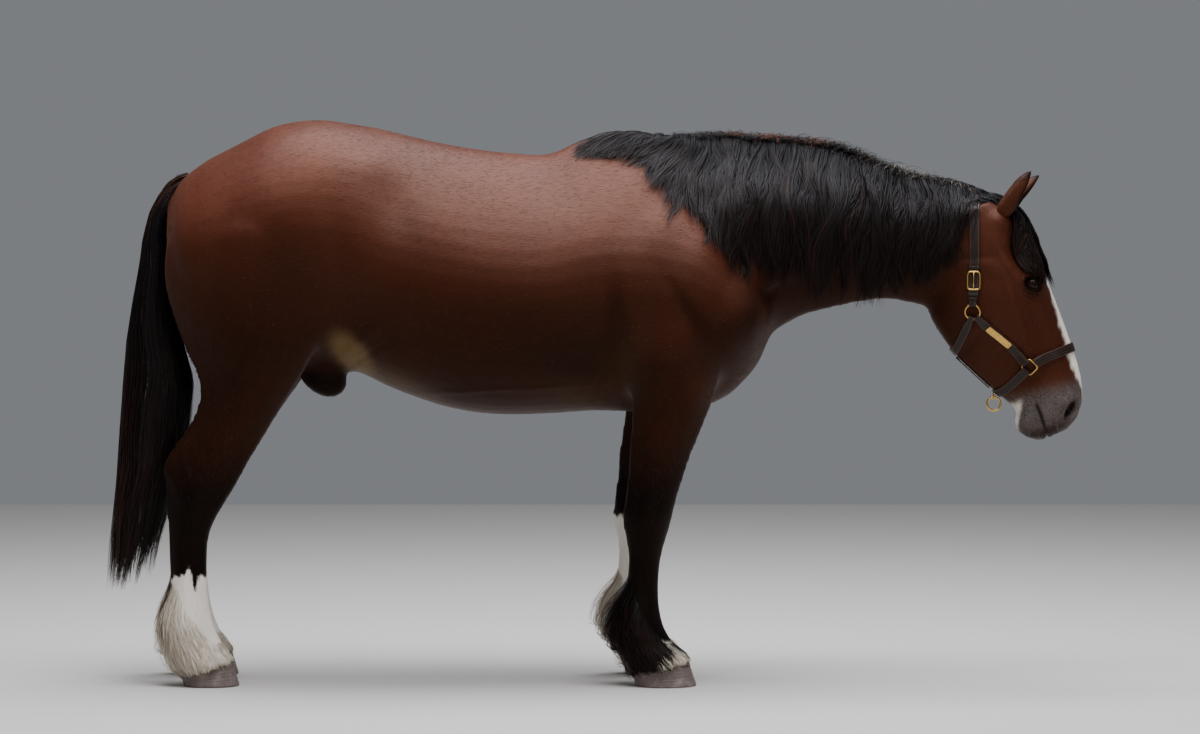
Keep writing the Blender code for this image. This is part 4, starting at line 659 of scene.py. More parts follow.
def ear(side):
    """Rings of an outer arc and an inner one from the root to the tip: the arc is nearly closed
    at the root and opens from mid-way up, and its width swells, then closes to a point."""
    rows, arc, cup = 34, 25, 23
    root = np.array([1.241, side * 0.056, 1.426])
    tip = np.array(EAR_TIPS[side])
    opening = np.array([0.88, -side * 0.10, -0.46])
    along = unit(tip - root)
    across = unit(np.cross(along, opening))
    opening = np.cross(across, along)
    t = np.linspace(-0.20, 1, rows)[:, None]
    up = np.clip(t, 0, 1)
    wide = 0.030 * (1 - up**3.2) ** 0.8 * (0.72 + 0.6 * up) + 0.0020
    drawn_in = 1 - ramp(t, -0.10, 0.26)
    wide = wide * (1 - 0.70 * drawn_in)
    reach = np.radians(165 - 55 * np.minimum(1, up / 0.6) ** 0.8)
    wall = 0.0026 + 0.1 * np.clip(0.15 - up, 0, 1)
    inner = np.maximum(wide - wall, 0.3 * wide)
    outside, inside = np.linspace(-1, 1, arc) * reach, np.linspace(0.97, -0.97, cup) * reach
    angle = np.concatenate([outside, inside], axis=1)
    radius = np.concatenate([wide + 0 * outside, inner + 0 * inside], axis=1)
    radius = radius * (1 + 0.05 * np.sin(7 * angle) * ramp(up, 0.1, 0.4) * (1 - up))
    bend = 0.009 * np.sin(math.pi * up) + 0.004 * up**4 + 0.010 * drawn_in
    middle = root + (tip - root) * t + opening * bend
    spread = across * np.sin(angle)[..., None] - opening * np.cos(angle)[..., None]
    points = middle[:, None, :] + radius[..., None] * spread
    edge = ramp(np.abs(outside) / reach, 0.80, 0.97) * ramp(up, 0.2, 0.5)
    dark = np.maximum(np.concatenate([edge, 0.9 + 0 * inside], axis=1), ramp(up, 0.78, 0.98))
    return points, np.clip(dark, 0, 1)


def with_pieces(mesh, grids):
    """Joins grids of rings into a mesh. With each comes whether its ends are capped, and whether
    its faces have to be turned to point outwards."""
    work = bmesh.new()
    work.from_mesh(mesh)
    for points, caps, inside_out in grids:
        rows, around, _ = points.shape
        part = bpy.data.meshes.new("part")
        faces = ring_quads(rows, around).tolist()
        if caps:
            faces += [list(range(around))[::-1], [(rows - 1) * around + k for k in range(around)]]
        if inside_out:
            faces = [face[::-1] for face in faces]
        part.from_pydata(points.reshape(-1, 3).tolist(), [], faces)
        work.from_mesh(part)
        bpy.data.meshes.remove(part)
    work.to_mesh(mesh)
    work.free()


lid_grids = {side: lids(side) for side in (-1, 1)}
ear_grids = {side: ear(side) for side in (-1, 1)}
set_coordinates(skin, pushed_in(coordinates(skin)))
bare_count = len(skin.vertices)
joined = [(grid, False, side > 0) for side, grid in lid_grids.items()]
with_pieces(skin, joined + [(grid, True, True) for grid, _ in ear_grids.values()])
ear_dark, lid_dark = np.zeros((2, len(skin.vertices)))
darks = np.concatenate([dark.ravel() for _, dark in ear_grids.values()])
ear_dark[-len(darks) :] = darks
lid_rows, lid_around, _ = lid_grids[1].shape
rims = np.ones(lid_rows)
rims[: -len(LID_ROLL)] = ramp(np.linspace(0, 1, lid_rows - len(LID_ROLL)), 0.25, 0.85)
rims = np.tile(np.repeat(rims, lid_around), 2)
lid_dark[bare_count : bare_count + len(rims)] = rims

# Markings, the same for the skin and every coat piece: black points, white socks, the blaze and a
# grey muzzle, with painted shade among them. Each is a distance or a share worked out from where a
# hair is rooted. Under the mane, whose edge the first table gives, and along the crest, the coat is
# darkened by painted shade for the mane's shadow.

MANE = [
    # crest x, then x and z of the lock's tip
    (0.100, -0.030, 1.612),
    (0.170, 0.050, 1.600),
    (0.240, 0.130, 1.580),
    (0.290, 0.220, 1.500),
    (0.340, 0.300, 1.420),
    (0.420, 0.370, 1.345),
    (0.500, 0.440, 1.265),
    (0.600, 0.550, 1.220),
    (0.700, 0.650, 1.205),
    (0.800, 0.740, 1.192),
    (0.900, 0.840, 1.196),
    (0.990, 0.940, 1.218),
    (1.070, 1.030, 1.245),
    (1.120, 1.080, 1.300),
    (1.165, 1.120, 1.400),
]
PASTERN = (0.232, 0.092, 0.066, 0.036, -34)  # the patch on the right fore: x, z, radii, tilt
ERMINE = (0.198, 0.100, 0.012)  # the dark spot in that patch: x, z and radius
BLAZE = [
    # down the face, half-width
    (0.200, 0.000),
    (0.235, 0.030),
    (0.290, 0.052),
    (0.350, 0.044),
    (0.430, 0.034),
    (0.520, 0.036),
    (0.600, 0.032),
    (0.655, 0.020),
    (0.700, 0.012),
    (0.730, 0.000),
]
TAN_PATCH = (-0.738, 1.012, 0.085, 0.048, -52)  # in the flank: x, z, radii, tilt
TANS = [
    # x, z, radii, tilt and share of fainter tan
    (-0.600, 0.930, 0.12, 0.03, -22, 0.30),
    (-0.050, 0.900, 0.10, 0.04, 0, 0.12),
    (0.100, 0.980, 0.05, 0.10, 0, 0.10),
]
PAINTED_SHADES = [
    # the same for painted shade, which is less than nothing where painted light lightens the coat over
    # muscle
    (-0.930, 1.330, 0.16, 0.13, 60, 0.35),  # haunch
    (0.620, 1.080, 0.14, 0.22, 0, 0.60),  # chest
    (0.306, 1.130, 0.13, 0.024, -54, 0.35),  # in front of the triceps
    (0.190, 0.945, 0.09, 0.04, 0, 0.30),  # over the elbow
    (0.083, 1.080, 0.17, 0.03, 98, 0.30),  # behind the triceps
    (0.220, 1.070, 0.11, 0.09, 0, -0.35),  # triceps
    (0.390, 1.200, 0.11, 0.05, -52, -0.25),  # between it and the point of the shoulder
    (0.320, 0.925, 0.05, 0.05, 0, -0.30),  # top of the forearm
]


def ripple(points, size, seed):
    """A smooth noise between -1 and 1: three crossing sine waves of one size."""
    ways = unit(np.random.default_rng(seed).uniform(-1, 1, (3, 3))) * 2 * math.pi / size
    waves = np.sin(points @ ways.T + np.arange(3) * 1.9)
    return waves.prod(axis=-1) * 0.8 + waves.mean(axis=-1) * 0.6


def markings(points):
    """Shares of black, white, grey, tan and painted shade where hairs are rooted. The black share also
    holds the mane's painted shadow, and the lips' share painted shade in the nostrils and the mouth's
    crease.
    """
    x, y, z = points[..., 0], points[..., 1], points[..., 2]
    down, over = to_head(points)
    head = (x > 1.10) & (down > -0.02)
    hind, right = x < -0.4, y < 0
    leg = ramp(-z, -0.80, -0.56) * (~head)
    ragged = 0.012 * ripple(points, 0.05, 3) + 0.006 * ripple(points, 0.018, 4)
    sock = np.where(hind, np.where(right, RIGHT_HIND_SOCK, HIND_SOCK), np.where(right, -1, FORE_SOCK))
    notch = 0.020 * np.exp(-(((x + 1.233) / 0.008) ** 2))
    notch = notch - 0.034 * np.exp(-(((x + 1.214) / 0.006) ** 2))
    white = sock + notch * (hind & right) - z + 1.2 * ragged
    px, pz, long, short, tilt = PASTERN
    along, across = turned(x - px, z - pz, tilt)
    patch = (1 - np.hypot(along / long, across / short)) * short + 0.5 * ragged
    patch = np.where(right & ~hind & (z < 0.3), patch, -1)
    white = np.maximum(white, patch)
    shift = np.where(right, 0, np.where(hind, LEFT_HIND_BACK, LEFT_FORE_BACK))
    forward = np.where(hind, (x + shift + 1.262) / 0.158, (x + shift - 0.122) / 0.170)
    coronet = np.where(hind, 0.042 + 0.038 * forward, 0.040 + 0.042 * forward)
    coronet = ramp(coronet - z + 1.1 * ragged, -0.016, -0.006) * (z < 0.12) * np.where(hind, 0.6, 1.0)
    band = np.interp(down, *np.transpose(BLAZE), left=0, right=0)
    blaze = np.where(head & (over > -0.045) & (band > 0), band - np.abs(y) + 0.35 * ragged, -1)
    white = np.where(head, blaze, white)
    ermine = np.hypot(x - ERMINE[0], z - ERMINE[1]) - ERMINE[2] + 0.3 * ragged
    white = np.where(right & ~hind & (z < 0.3), np.minimum(white, ermine), white)
    muzzle = ramp(down + 0.25 * ragged - 0.10 * (over + 0.06), 0.575, 0.645) * head
    lips = ramp(down - 0.05 * (over + 0.1), 0.700, 0.730) * head
    # Painted shade: the nostril slits and the mouth's crease are painted as dark as the lips.
    nose = oval(down - NOSTRIL[0], over - NOSTRIL[1], 0.034, 0.0125, NOSTRIL[2])
    lips = np.maximum(lips, ramp(nose, 0.25, 0.65) * head)
    painted_mouth_shade = np.exp(-(((over - MOUTH_OVER) / 0.006) ** 2)) * ramp(down, MOUTH_FROM - 0.01, MOUTH_FROM + 0.01)
    lips = np.maximum(lips, 0.8 * painted_mouth_shade * head)
    chin = ramp(-over - 0.55 * (down - 0.66) + 0.3 * ragged, 0.172, 0.190)
    chin = chin * ramp(down, 0.600, 0.630) * head
    sheath = np.exp(-(((x - SHEATH_X) / 0.09) ** 2) - ((z - 0.925) / 0.06) ** 2 - (y / 0.07) ** 2)
    # Painted shade for the mane's shadow: the crest is darkened, and on the right side so is the neck under
    # the locks.
    painted_crest_shade = ramp(z - np.interp(x, [0, 0.4, 0.8, 1.2], [1.62, 1.62, 1.56, 1.46]), 0, 0.08) * (x > 0.1)
    _, tip_x, tip_z = np.transpose(MANE)
    under = ramp(z - np.interp(x, tip_x, tip_z), 0.03, 0.12) * right
    under = under * ramp(x, 0.16, 0.28) * ramp(-x, -1.12, -1.04)
    face = ramp(x, 1.00, 1.20) * ramp(down, -0.10, 0.04)
    black_and_painted_shade = np.clip(leg + 1.6 * sheath + np.maximum(0.5 * painted_crest_shade * ~head, 0.8 * under), 0, 1)
    tan = ramp(ovals([(*TAN_PATCH, 1)], x, z), 0.10, 0.75) * (np.abs(y) < 0.31) + ovals(TANS, x, z)
    # Painted shade: darker down the body, towards the chest, on the haunch and in the hollows round the
    # triceps, with painted light on the triceps, the point of the shoulder and the top of the forearm.
    painted_shade = ramp(-z, -1.50, -1.02) + 0.35 * ramp(x, 0.45, 0.75) + ovals(PAINTED_SHADES, x, z)
    # On the head, painted shade over the whole face, deeper under the jaw and round the eye.
    eyelid = np.hypot((down - EYE[0]) / 0.050, (over - EYE[1]) / 0.034)
    painted_face_shade = 0.35 + 0.35 * ramp(-over, 0.05, 0.30) + 0.6 * ramp(-eyelid, -1.3, -0.5)
    painted_shade = painted_shade * (1 - face) + face * painted_face_shade
    return {
        "black_and_painted_shade": black_and_painted_shade,
        "white": np.maximum(ramp(white, -0.006, 0.006) * (1 - coronet), 0.75 * chin),
        "grey": np.clip(muzzle, 0, 1),
        "lips": lips,
        "tan": np.clip(tan, 0, 1),
        "painted_shade": np.clip(painted_shade, 0, 1),
    }


# The coat's finish: short hair with a silky sheen, mahogany on the back, seal brown below by painted shade.
# The hairs, 0.05 mm across and 15 mm long, are far too fine to show, so they are drawn as streaks
# 4 mm across and 35 mm long that run back along the body and down the legs.

STREAK = (0.004, 0.035)


def colour(text):
    """sRGB hex to the linear red, green, blue and alpha that a socket takes."""
    values = [int(text[i : i + 2], 16) / 255 for i in (1, 3, 5)]
    return (*[v / 12.92 if v <= 0.04045 else ((v + 0.055) / 1.055) ** 2.4 for v in values], 1.0)


def feed(tree, socket, value):
    """Gives an input a number, a hex colour or another node's output."""
    if isinstance(value, bpy.types.NodeSocket):
        tree.links.new(value, socket)
    else:
        socket.default_value = colour(value) if isinstance(value, str) else value


def node(tree, kind, inputs=None, output=0, **settings):
    """Adds a node, its inputs by name or number and its settings by attribute, and returns one of
    its outputs."""
    made = tree.nodes.new("ShaderNode" + kind)
    for key, value in settings.items():
        setattr(made, key, value)
    for key, value in (inputs or {}).items():
        feed(tree, made.inputs[key], value)
    return made.outputs[output]


def layered(tree, base, *layers):
    """Lays colours over a base, one after another, each by its share."""
    for share, over in layers:
        base = node(tree, "Mix", {0: share, 6: base, 7: over}, 2, data_type="RGBA")
    return base


def finish(name, surface):
    """A material whose shader takes what a surface gives for each of its sockets."""
    made = bpy.data.materials.new(name)
    made.use_nodes = True
    shader = made.node_tree.nodes["Principled BSDF"]
    for key, value in surface(made.node_tree).items():
        feed(made.node_tree, shader.inputs[key], value)
    return made


def streaks(tree, place):
    """Noise drawn out along the hair: back and down over the body, straight down the legs."""
    across, along = 1 / STREAK[0], 1 / STREAK[1]
    back_and_down = (0, math.radians(-22), 0)
    body = {"Vector": place, "Rotation": back_and_down, "Scale": (along, across, across)}
    body = node(tree, "Mapping", body)
    legs = node(tree, "Mapping", {"Vector": place, "Scale": (across, across, along)})
    limb = node(tree, "Attribute", output="Fac", attribute_name="limb")
    mixed = node(tree, "Mix", {0: limb, 4: body, 5: legs}, 1, data_type="VECTOR")
    noise = {"Vector": mixed, "Scale": 1.0, "Detail": 3.0, "Roughness": 0.6, "W": 2.0}
    return node(tree, "TexNoise", noise, noise_dimensions="4D")


def coat_surface(tree):
    """What the skin and the tufts share: colour by the markings and the painted light and shade at a
    hair's root, a silky shine over the back that is duller below and where the coat is black, and
    the streaks' own relief."""
    place = node(tree, "TexCoord", output="Object")
    fine = streaks(tree, place)
    black_and_painted_shade, white, grey, lips, tan, painted_shade = (
        node(tree, "Attribute", output="Fac", attribute_name=name)
        for name in ("black_and_painted_shade", "white", "grey", "lips", "tan", "painted_shade")
    )
    broad = node(tree, "TexNoise", {"Vector": place, "Scale": 2.6, "Detail": 4.0, "Roughness": 0.55})
    patchy = node(tree, "MapRange", {"Value": broad, "From Min": 0.38, "From Max": 0.68, "To Max": 0.6})
    hairs = node(tree, "MapRange", {"Value": fine, "From Min": 0.35, "From Max": 0.75, "To Max": 0.30})
    flecks = node(tree, "TexVoronoi", {"Vector": place, "Scale": 30.0, "Randomness": 1.0})
    flecks = node(tree, "MapRange", {"Value": flecks, "From Min": 0.07, "From Max": 0.03, "To Max": 0.20})
    roan = node(tree, "TexNoise", {"Vector": place, "Scale": 190.0, "Detail": 3.0, "Roughness": 0.7})
    roan = node(tree, "MapRange", {"Value": roan, "From Min": 0.30, "From Max": 0.80})
    clouds = node(tree, "TexNoise", {"Vector": place, "Scale": 22.0, "Detail": 3.0})
    clouds = node(tree, "MapRange", {"Value": clouds, "From Min": 0.45, "From Max": 0.75, "To Max": 0.5})
    coat = layered(
        tree,
        "#502415",
        # painted shade over the lower body, the chest, the haunch and the face
        (painted_shade, "#22110a"),
        (patchy, "#33160b"),
        (hairs, "#1d0a05"),
        (flecks, "#a5705a"),
        (tan, "#5f4c2f"),
        # black points, and painted shade under the mane
        (black_and_painted_shade, "#060505"),
        (grey, layered(tree, "#353030", (roan, "#716a67"), (clouds, "#252121"))),
        # dark lips, and painted shade in the nostrils and the mouth's crease
        (lips, "#1a1717"),
        (white, layered(tree, "#f0eae0", (hairs, "#b9a88c"))),
    )
    dull = node(tree, "Math", {0: black_and_painted_shade, 1: painted_shade}, operation="MAXIMUM")
    surface = {
        "Base Color": coat,
        "Normal": node(tree, "Bump", {"Height": fine, "Strength": 0.35, "Distance": 0.0016}),
        "Specular IOR Level": node(tree, "MapRange", {"Value": dull, "To Min": 0.38, "To Max": 0.13}),
        "Specular Tint": "#dcac90",
        "Sheen Weight": 0.06,
        "Sheen Roughness": 0.35,
        "Sheen Tint": "#d8946c",
    }
    return surface, fine


def skin_surface(tree):
    """The coat, rougher and smoother by its streaks."""
    surface, fine = coat_surface(tree)
    surface["Roughness"] = node(tree, "MapRange", {"Value": fine, "To Min": 0.40, "To Max": 0.62})
    return surface


short_coat = finish("short_bay_coat", skin_surface)


def carry(mesh, **fields):
    """Keeps one number per vertex under each name, for a material to read."""
    for name, values in fields.items():
        kept = mesh.attributes.new(name, "FLOAT", "POINT")
        kept.data.foreach_set("value", np.ascontiguousarray(values, np.float32).ravel())


def piece(mesh, look, slot, *nodes):
    """Shows a mesh as a piece of the horse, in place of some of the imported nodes."""
    made = placed(mesh.name, mesh)
    mesh.materials.append(look)
    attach(made, "root")
    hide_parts(*nodes)


def low_leg(points):
    """1 on the lower legs and 0 above the elbow and stifle."""
    return ramp(-points[:, 2], -0.95, -0.75)


skin_points = coordinates(skin)
marks = markings(skin_points)
hidden = np.maximum(ear_dark, 0.92 * lid_dark)
marks["black_and_painted_shade"] = np.maximum(marks["black_and_painted_shade"], hidden)
marks["white"] *= (1 - lid_dark) * (ear_dark == 0)
carry(skin, **marks, limb=np.maximum(low_leg(skin_points), on_head(skin_points)))
flesh = ["torso", "neck", "head"]
parts_of_it = ("forearm_", "gaskin_", "shank_fore_", "shank_hind_", "ear_")
flesh += [a + b for a in parts_of_it for b in ("right", "left")]
skin.shade_smooth()
piece(skin, short_coat, "bay_coat", *flesh)

# Eyes: wet balls 42 mm across, with a low clear dome, a brown iris and a level, oval pupil. Each
# sits in its socket behind the lids.


def mesh_of(name, points, faces):
    """A mesh from an array of points and an array of faces with the same number of corners."""
    mesh = bpy.data.meshes.new(name)
    mesh.vertices.add(len(points))
    mesh.vertices.foreach_set("co", np.asarray(points, float).ravel())
    mesh.loops.add(faces.size)
    mesh.loops.foreach_set("vertex_index", faces.ravel().astype(np.int32))
    mesh.polygons.add(len(faces))
    mesh.polygons.foreach_set("loop_start", np.arange(0, faces.size, faces.shape[1], dtype=np.int32))
    mesh.update(calc_edges=True)
    mesh.shade_smooth()
    return mesh


def tube(name, grid, loop=False):
    """A closed mesh from a grid of rings: its ends capped, or the last ring joined to the first."""
    rows, around, _ = grid.shape
    faces = ring_quads(rows + loop, around) % (rows * around)
    made = mesh_of(name, grid.reshape(-1, 3), faces)
    work = bmesh.new()
    work.from_mesh(made)
    work.verts.ensure_lookup_table()
    for row in () if loop else (0, rows - 1):
        work.faces.new([work.verts[row * around + k] for k in range(around)])
    bmesh.ops.recalc_face_normals(work, faces=work.faces)
    work.to_mesh(made)
    work.free()
    made.shade_smooth()
    return made


def eyeball(side):
    """A ball whose rings run round the way it looks, raised into a dome over the front."""
    rows, around = 30, 48
    gaze = unit(np.array([0.16, side * 0.98, 0.05]))
    x, z = turned(*FACE, -EYE_TILT)
    level = np.array([x, 0, z])
    level = unit(level - gaze * (level @ gaze))
    upright = np.cross(gaze, level)
    off = np.linspace(0.02, math.pi - 0.02, rows)[:, None]
    a = turns(around)
    radius = EYE_RADIUS * (1 + 0.055 * np.exp(-((off / 0.62) ** 4)))
    u, v = np.sin(off) * np.cos(a), np.sin(off) * np.sin(a)
    ways = u[..., None] * level + v[..., None] * upright + np.cos(off)[..., None] * gaze
    return ways * radius[..., None] + eye_centre(side), u, v, np.broadcast_to(off, u.shape)


# Deep brown iris under a clear film of tears: nearly black, with one sharp glint.
def eye_surface(tree):
    off, pupil = (
        node(tree, "Attribute", output="Fac", attribute_name=name) for name in ("off", "pupil")
    )
    spoke = node(tree, "Attribute", output="Vector", attribute_name="spoke")
    spoke = node(tree, "TexNoise", {"Vector": spoke, "Scale": 9.0, "Detail": 2.0})
    rim = node(tree, "MapRange", {"Value": off, "From Min": 0.70, "From Max": 0.86})
    outside = node(tree, "MapRange", {"Value": off, "From Min": 0.96, "From Max": 1.12})
    dark = node(tree, "MapRange", {"Value": pupil, "From Min": 1.08, "From Max": 0.92})
    layers = (spoke, "#2c160a"), (rim, "#120a08"), (outside, "#2a1c18"), (dark, "#040406")
    return {
        "Base Color": layered(tree, "#140904", *layers),
        "Roughness": 0.10,
        "IOR": 1.376,
        "Specular IOR Level": 0.1,
        "Coat Weight": 0.12,
        "Coat Roughness": 0.02,
    }


wet_eye = finish("wet_brown_eye", eye_surface)
for side, word in ((-1, "right"), (1, "left")):
    grid, u, v, off = eyeball(side)
    ball = tube("eye_" + word + "_ball", grid)
    carry(ball, off=off, pupil=np.hypot(u / 0.36, v / 0.20))
    spokes = ball.attributes.new("spoke", "FLOAT_VECTOR", "POINT")
    ring = np.concatenate([unit(np.stack([u, v], axis=-1)) * 2, 0.3 * off[..., None]], axis=-1)
    spokes.data.foreach_set("vector", ring.astype(np.float32).ravel())
    piece(ball, wet_eye, "dark_eye", "eye_" + word)

# Hooves: walls of horn that grow down from the coronet in faint rings, with a hollow sole that
# leaves the rim on the ground.

HOOVES = {
    # toe, heel on the floor, half-width; coronet front x, z and back x, z
    "fore_right": np.array([0.318, 0.130, 0.083, 0.292, 0.082, 0.122, 0.040]),
    "hind_right": np.array([-1.081, -1.252, 0.078, -1.104, 0.080, -1.262, 0.042]),
}
set_back = np.array([1, 1, 0, 1, 0, 1, 0])
HOOVES["fore_left"] = HOOVES["fore_right"] - LEFT_FORE_BACK * set_back
HOOVES["hind_left"] = HOOVES["hind_right"] - LEFT_HIND_BACK * set_back


def hoof(values, y):
    """Rings up the wall, an oval that narrows at the heels, closed at the top by a sunk lid and
    below by rings that rise into the hollow of the sole."""
    toe, heel, half, front_x, front_z, back_x, back_z = values
    a = turns(72)
    wall = np.concatenate([np.linspace(0, 1, 26), [1.0, 1.0]])[:, None]
    inset = np.interp(wall, [0, 0.03, 0.07, 0.9, 1], [0.0035, 0.001, 0, 0.001, 0.0015])
    inset[-2:] = [[0.010], [0.030]]
    sole = np.array([[0.75, 0.0], [0.70, 0.0025], [0.45, 0.007], [0.08, 0.010]])
    front, back = toe + (front_x - toe) * wall, heel + (back_x - heel) * wall
    wide = half * (1 - 0.16 * wall)
    cosine = powered(np.cos(a), np.where(np.cos(a) > 0, 1.0, 0.7))
    rings = 0.0007 * np.sin(wall * 46 + 1.5 * np.sin(a)) * np.sin(math.pi * np.clip(wall, 0, 1))
    x = (front + back) / 2 + (front - back) / 2 * cosine - (inset - rings) * np.cos(a)
    narrow = 1 - 0.16 * np.maximum(0, -cosine) ** 2
    z = wall * (back_z + (front_z - back_z) * (cosine + 1) / 2)
    z[-2:] -= [[0.002], [0.004]]
    points = np.stack([x, y + (wide - inset + rings) * narrow * np.sin(a), z], axis=-1)
    centre = points[0].mean(axis=0)
    below = centre + (points[0] - centre) * sole[:, :1, None] ** 0.5
    below[..., 2] = sole[:, 1:]
    return np.concatenate([below[::-1], points])


# Dull grey-brown horn: streaks run down the wall, rings across it, and it is chalky in patches.
def horn_surface(tree):
    place = node(tree, "TexCoord", output="Object")
    down_wall = node(tree, "Mapping", {"Vector": place, "Scale": (260, 260, 16)})
    grain = node(tree, "TexNoise", {"Vector": down_wall, "Scale": 1.0, "Detail": 3.0})
    cross = node(tree, "Mapping", {"Vector": place, "Scale": (9, 9, 240)})
    bands = node(tree, "TexNoise", {"Vector": cross, "Scale": 1.0, "Detail": 2.0})
    banded = node(tree, "Math", {0: bands, 1: 0.6}, operation="MULTIPLY")
    soil = node(tree, "TexNoise", {"Vector": place, "Scale": 30.0, "Detail": 4.0})
    dusty = node(tree, "MapRange", {"Value": soil, "From Min": 0.48, "From Max": 0.70, "To Max": 0.7})
    return {
        "Base Color": layered(tree, "#4f4441", (grain, "#8a7b74"), (banded, "#3d3331"), (dusty, "#92837a")),
        "Normal": node(tree, "Bump", {"Height": bands, "Strength": 0.5, "Distance": 0.0010}),
        "Roughness": 0.62,
    }


horn = finish("hoof_horn_wall", horn_surface)
for name, values in HOOVES.items():
    made = tube("hoof_" + name + "_horn", hoof(values, -STANCE if "right" in name else STANCE))
    piece(made, horn, "hoof_horn", "hoof_" + name)

# Short coat: tufts of hair 7 to 26 mm long that lie back along the body and down the limbs, a
# small blade for each, over the finer hair that the skin's own finish draws.


def chart(points):
    """Where places on the skin fall on its unwrap: trunk, neck and head opened along the belly as
    one band, by how far along and how far round, and each leg a band of its own below."""
    x, y, z = points[..., 0], points[..., 1], points[..., 2]
    middle = np.interp(x, [-1.3, -0.5, 0.3, 0.9, 1.25, 1.45], [1.35, 1.25, 1.25, 1.38, 1.28, 1.02])
    band = 0.02 + 0.96 * (x + 1.56) / 3.12, 0.70 + 0.28 * np.arctan2(y, z - middle) / math.pi
    leg = (x > -0.4) + 2 * (y > 0)
    fore_axis = np.interp(z, [0, 0.15, 0.8], [0.20, 0.17, 0.23])
    axis = np.where(x > -0.4, fore_axis, np.interp(z, [0, 0.6, 0.8], [-1.2, -1.24, -1.12]))
    turn = np.arctan2(np.abs(y) - STANCE, x - axis) / math.pi
    limb = 0.25 * leg + 0.125 + 0.11 * turn, 0.02 + 0.36 * z / 0.8
    low = (z < 0.80) & ((x > -0.1) | (x < -0.7))
    return np.stack([np.where(low, limb[0], band[0]), np.where(low, limb[1], band[1])], axis=-1)


TUFT_PATCH = 0.003  # of the map, for each blade


def ribbons(name, paths, facing, width, roots, **fields):
    """Flat blades along centre lines of k points, each with a left and a right edge half its width
    to either side, facing outwards. A field is one number, one a blade, or one a point."""
    count, steps, _ = paths.shape
    across = unit(np.cross(np.gradient(paths, axis=1), facing)) * width[..., None] / 2
    points = np.stack([paths - across, paths + across], axis=2)
    first = (np.arange(count) * steps * 2)[:, None] + np.arange(steps - 1) * 2
    faces = np.stack([first, first + 1, first + 3, first + 2], axis=-1).reshape(-1, 4)
    mesh = mesh_of(name, points.reshape(-1, 3), faces)
    along = np.linspace(0, 1, steps)
    spread = {"along": np.broadcast_to(along, (count, steps))}
    for key, values in fields.items():
        values = values if np.ndim(values) == 2 else np.reshape(values, (-1, 1))
        spread[key] = np.broadcast_to(values, (count, steps))
    carry(mesh, **{key: np.repeat(values, 2, axis=1) for key, values in spread.items()})
    spot = np.repeat(chart(roots)[:, None, None, :], steps, axis=1).repeat(2, axis=2)
    spot[..., 0] += np.array([-TUFT_PATCH / 2, TUFT_PATCH / 2])
    spot[..., 1] += (TUFT_PATCH * (along - 0.5))[:, None]
    baked = mesh.uv_layers.new(name="OFBake")
    baked.data.foreach_set("uv", spot.reshape(-1, 2)[faces.ravel()].astype(np.float32).ravel())
    return mesh


def sampled(mesh, count, density):
    """Random places on a mesh, the ways they face and a vertex near each, in proportion to area
    times density, and none inside the ears."""
    mesh.calc_loop_triangles()
    corners = read(mesh.loop_triangles, "vertices", 3, int)
    spots, out = coordinates(mesh)[corners], normals(mesh)[corners]
    area = np.linalg.norm(np.cross(spots[:, 1] - spots[:, 0], spots[:, 2] - spots[:, 0]), axis=1)
    weight = area * density(spots.mean(axis=1)) * (ear_dark[corners[:, 0]] < 0.5)
    chosen = rng.choice(len(area), count, p=weight / weight.sum())
    share = rng.dirichlet((1, 1, 1), count)[..., None]
    places, facing = ((values[chosen] * share).sum(axis=1) for values in (spots, out))
    return places, unit(facing), corners[chosen, 0]


def lie(points, out):
    """The way the coat lies: back and a little down over the trunk and neck, down the legs, and
    down and back over the face, always along the skin."""
    x, z = points[:, 0], points[:, 2]
    head = on_head(points)[:, None]
    leg = ramp(-z, -1.02, -0.80)[:, None]
    way = np.array([-0.94, 0, -0.34]) * (1 - leg) + np.array([-0.05, 0, -1.0]) * leg
    flank = oval(x + 0.62, z - 1.15, 0.16, 0.20, 0)[:, None]
    way = way * (1 - flank) + np.array([-0.55, 0, -0.85]) * flank
    face = np.array([FACE[0] + 0.35 * FACE[1], 0, FACE[1] - 0.35 * FACE[0]])
    way = way * (1 - head) + face * head
    on_ear = ((x > 1.22) & (z > 1.455) & (np.abs(points[:, 1]) > 0.03))[:, None]
    way = np.where(on_ear, np.array([0.6, 0, 0.8]), way)
    way = way - out * np.einsum("ij,ij->i", way, out)[:, None]
    return unit(way + 1e-6)


def bend(mesh):
    """How strongly the skin curves along the coat at each vertex, from how its normals turn along
    the edges that run that way."""
    points, out = coordinates(mesh), normals(mesh)
    a, b = read(mesh.edges, "vertices", 2, int).T
    step = points[b] - points[a]
    far = np.einsum("ij,ij->i", step, step)
    turn = np.einsum("ij,ij->i", out[b] - out[a], step) / far
    way = lie(points, out)
    total, weight = 0, 1e-9
    for end in (a, b):
        share = np.einsum("ij,ij->i", step, way[end]) ** 2 / far
        total = total + np.bincount(end, turn * share, len(points))
        weight = weight + np.bincount(end, share, len(points))
    return np.clip(total / weight, -10, 30)


def openness(points):
    """0 in the eyes and nostrils, 1 elsewhere."""
    down, over = to_head(points)
    eye = np.hypot((down - EYE[0]) / 0.030, (over - EYE[1]) / 0.022)
    nose = np.hypot((down - NOSTRIL[0]) / 0.026, (over - NOSTRIL[1]) / 0.020)
    clear = np.where(points[:, 0] > 1.1, (eye > 1) & (nose > 1), True)
    return clear.astype(float)


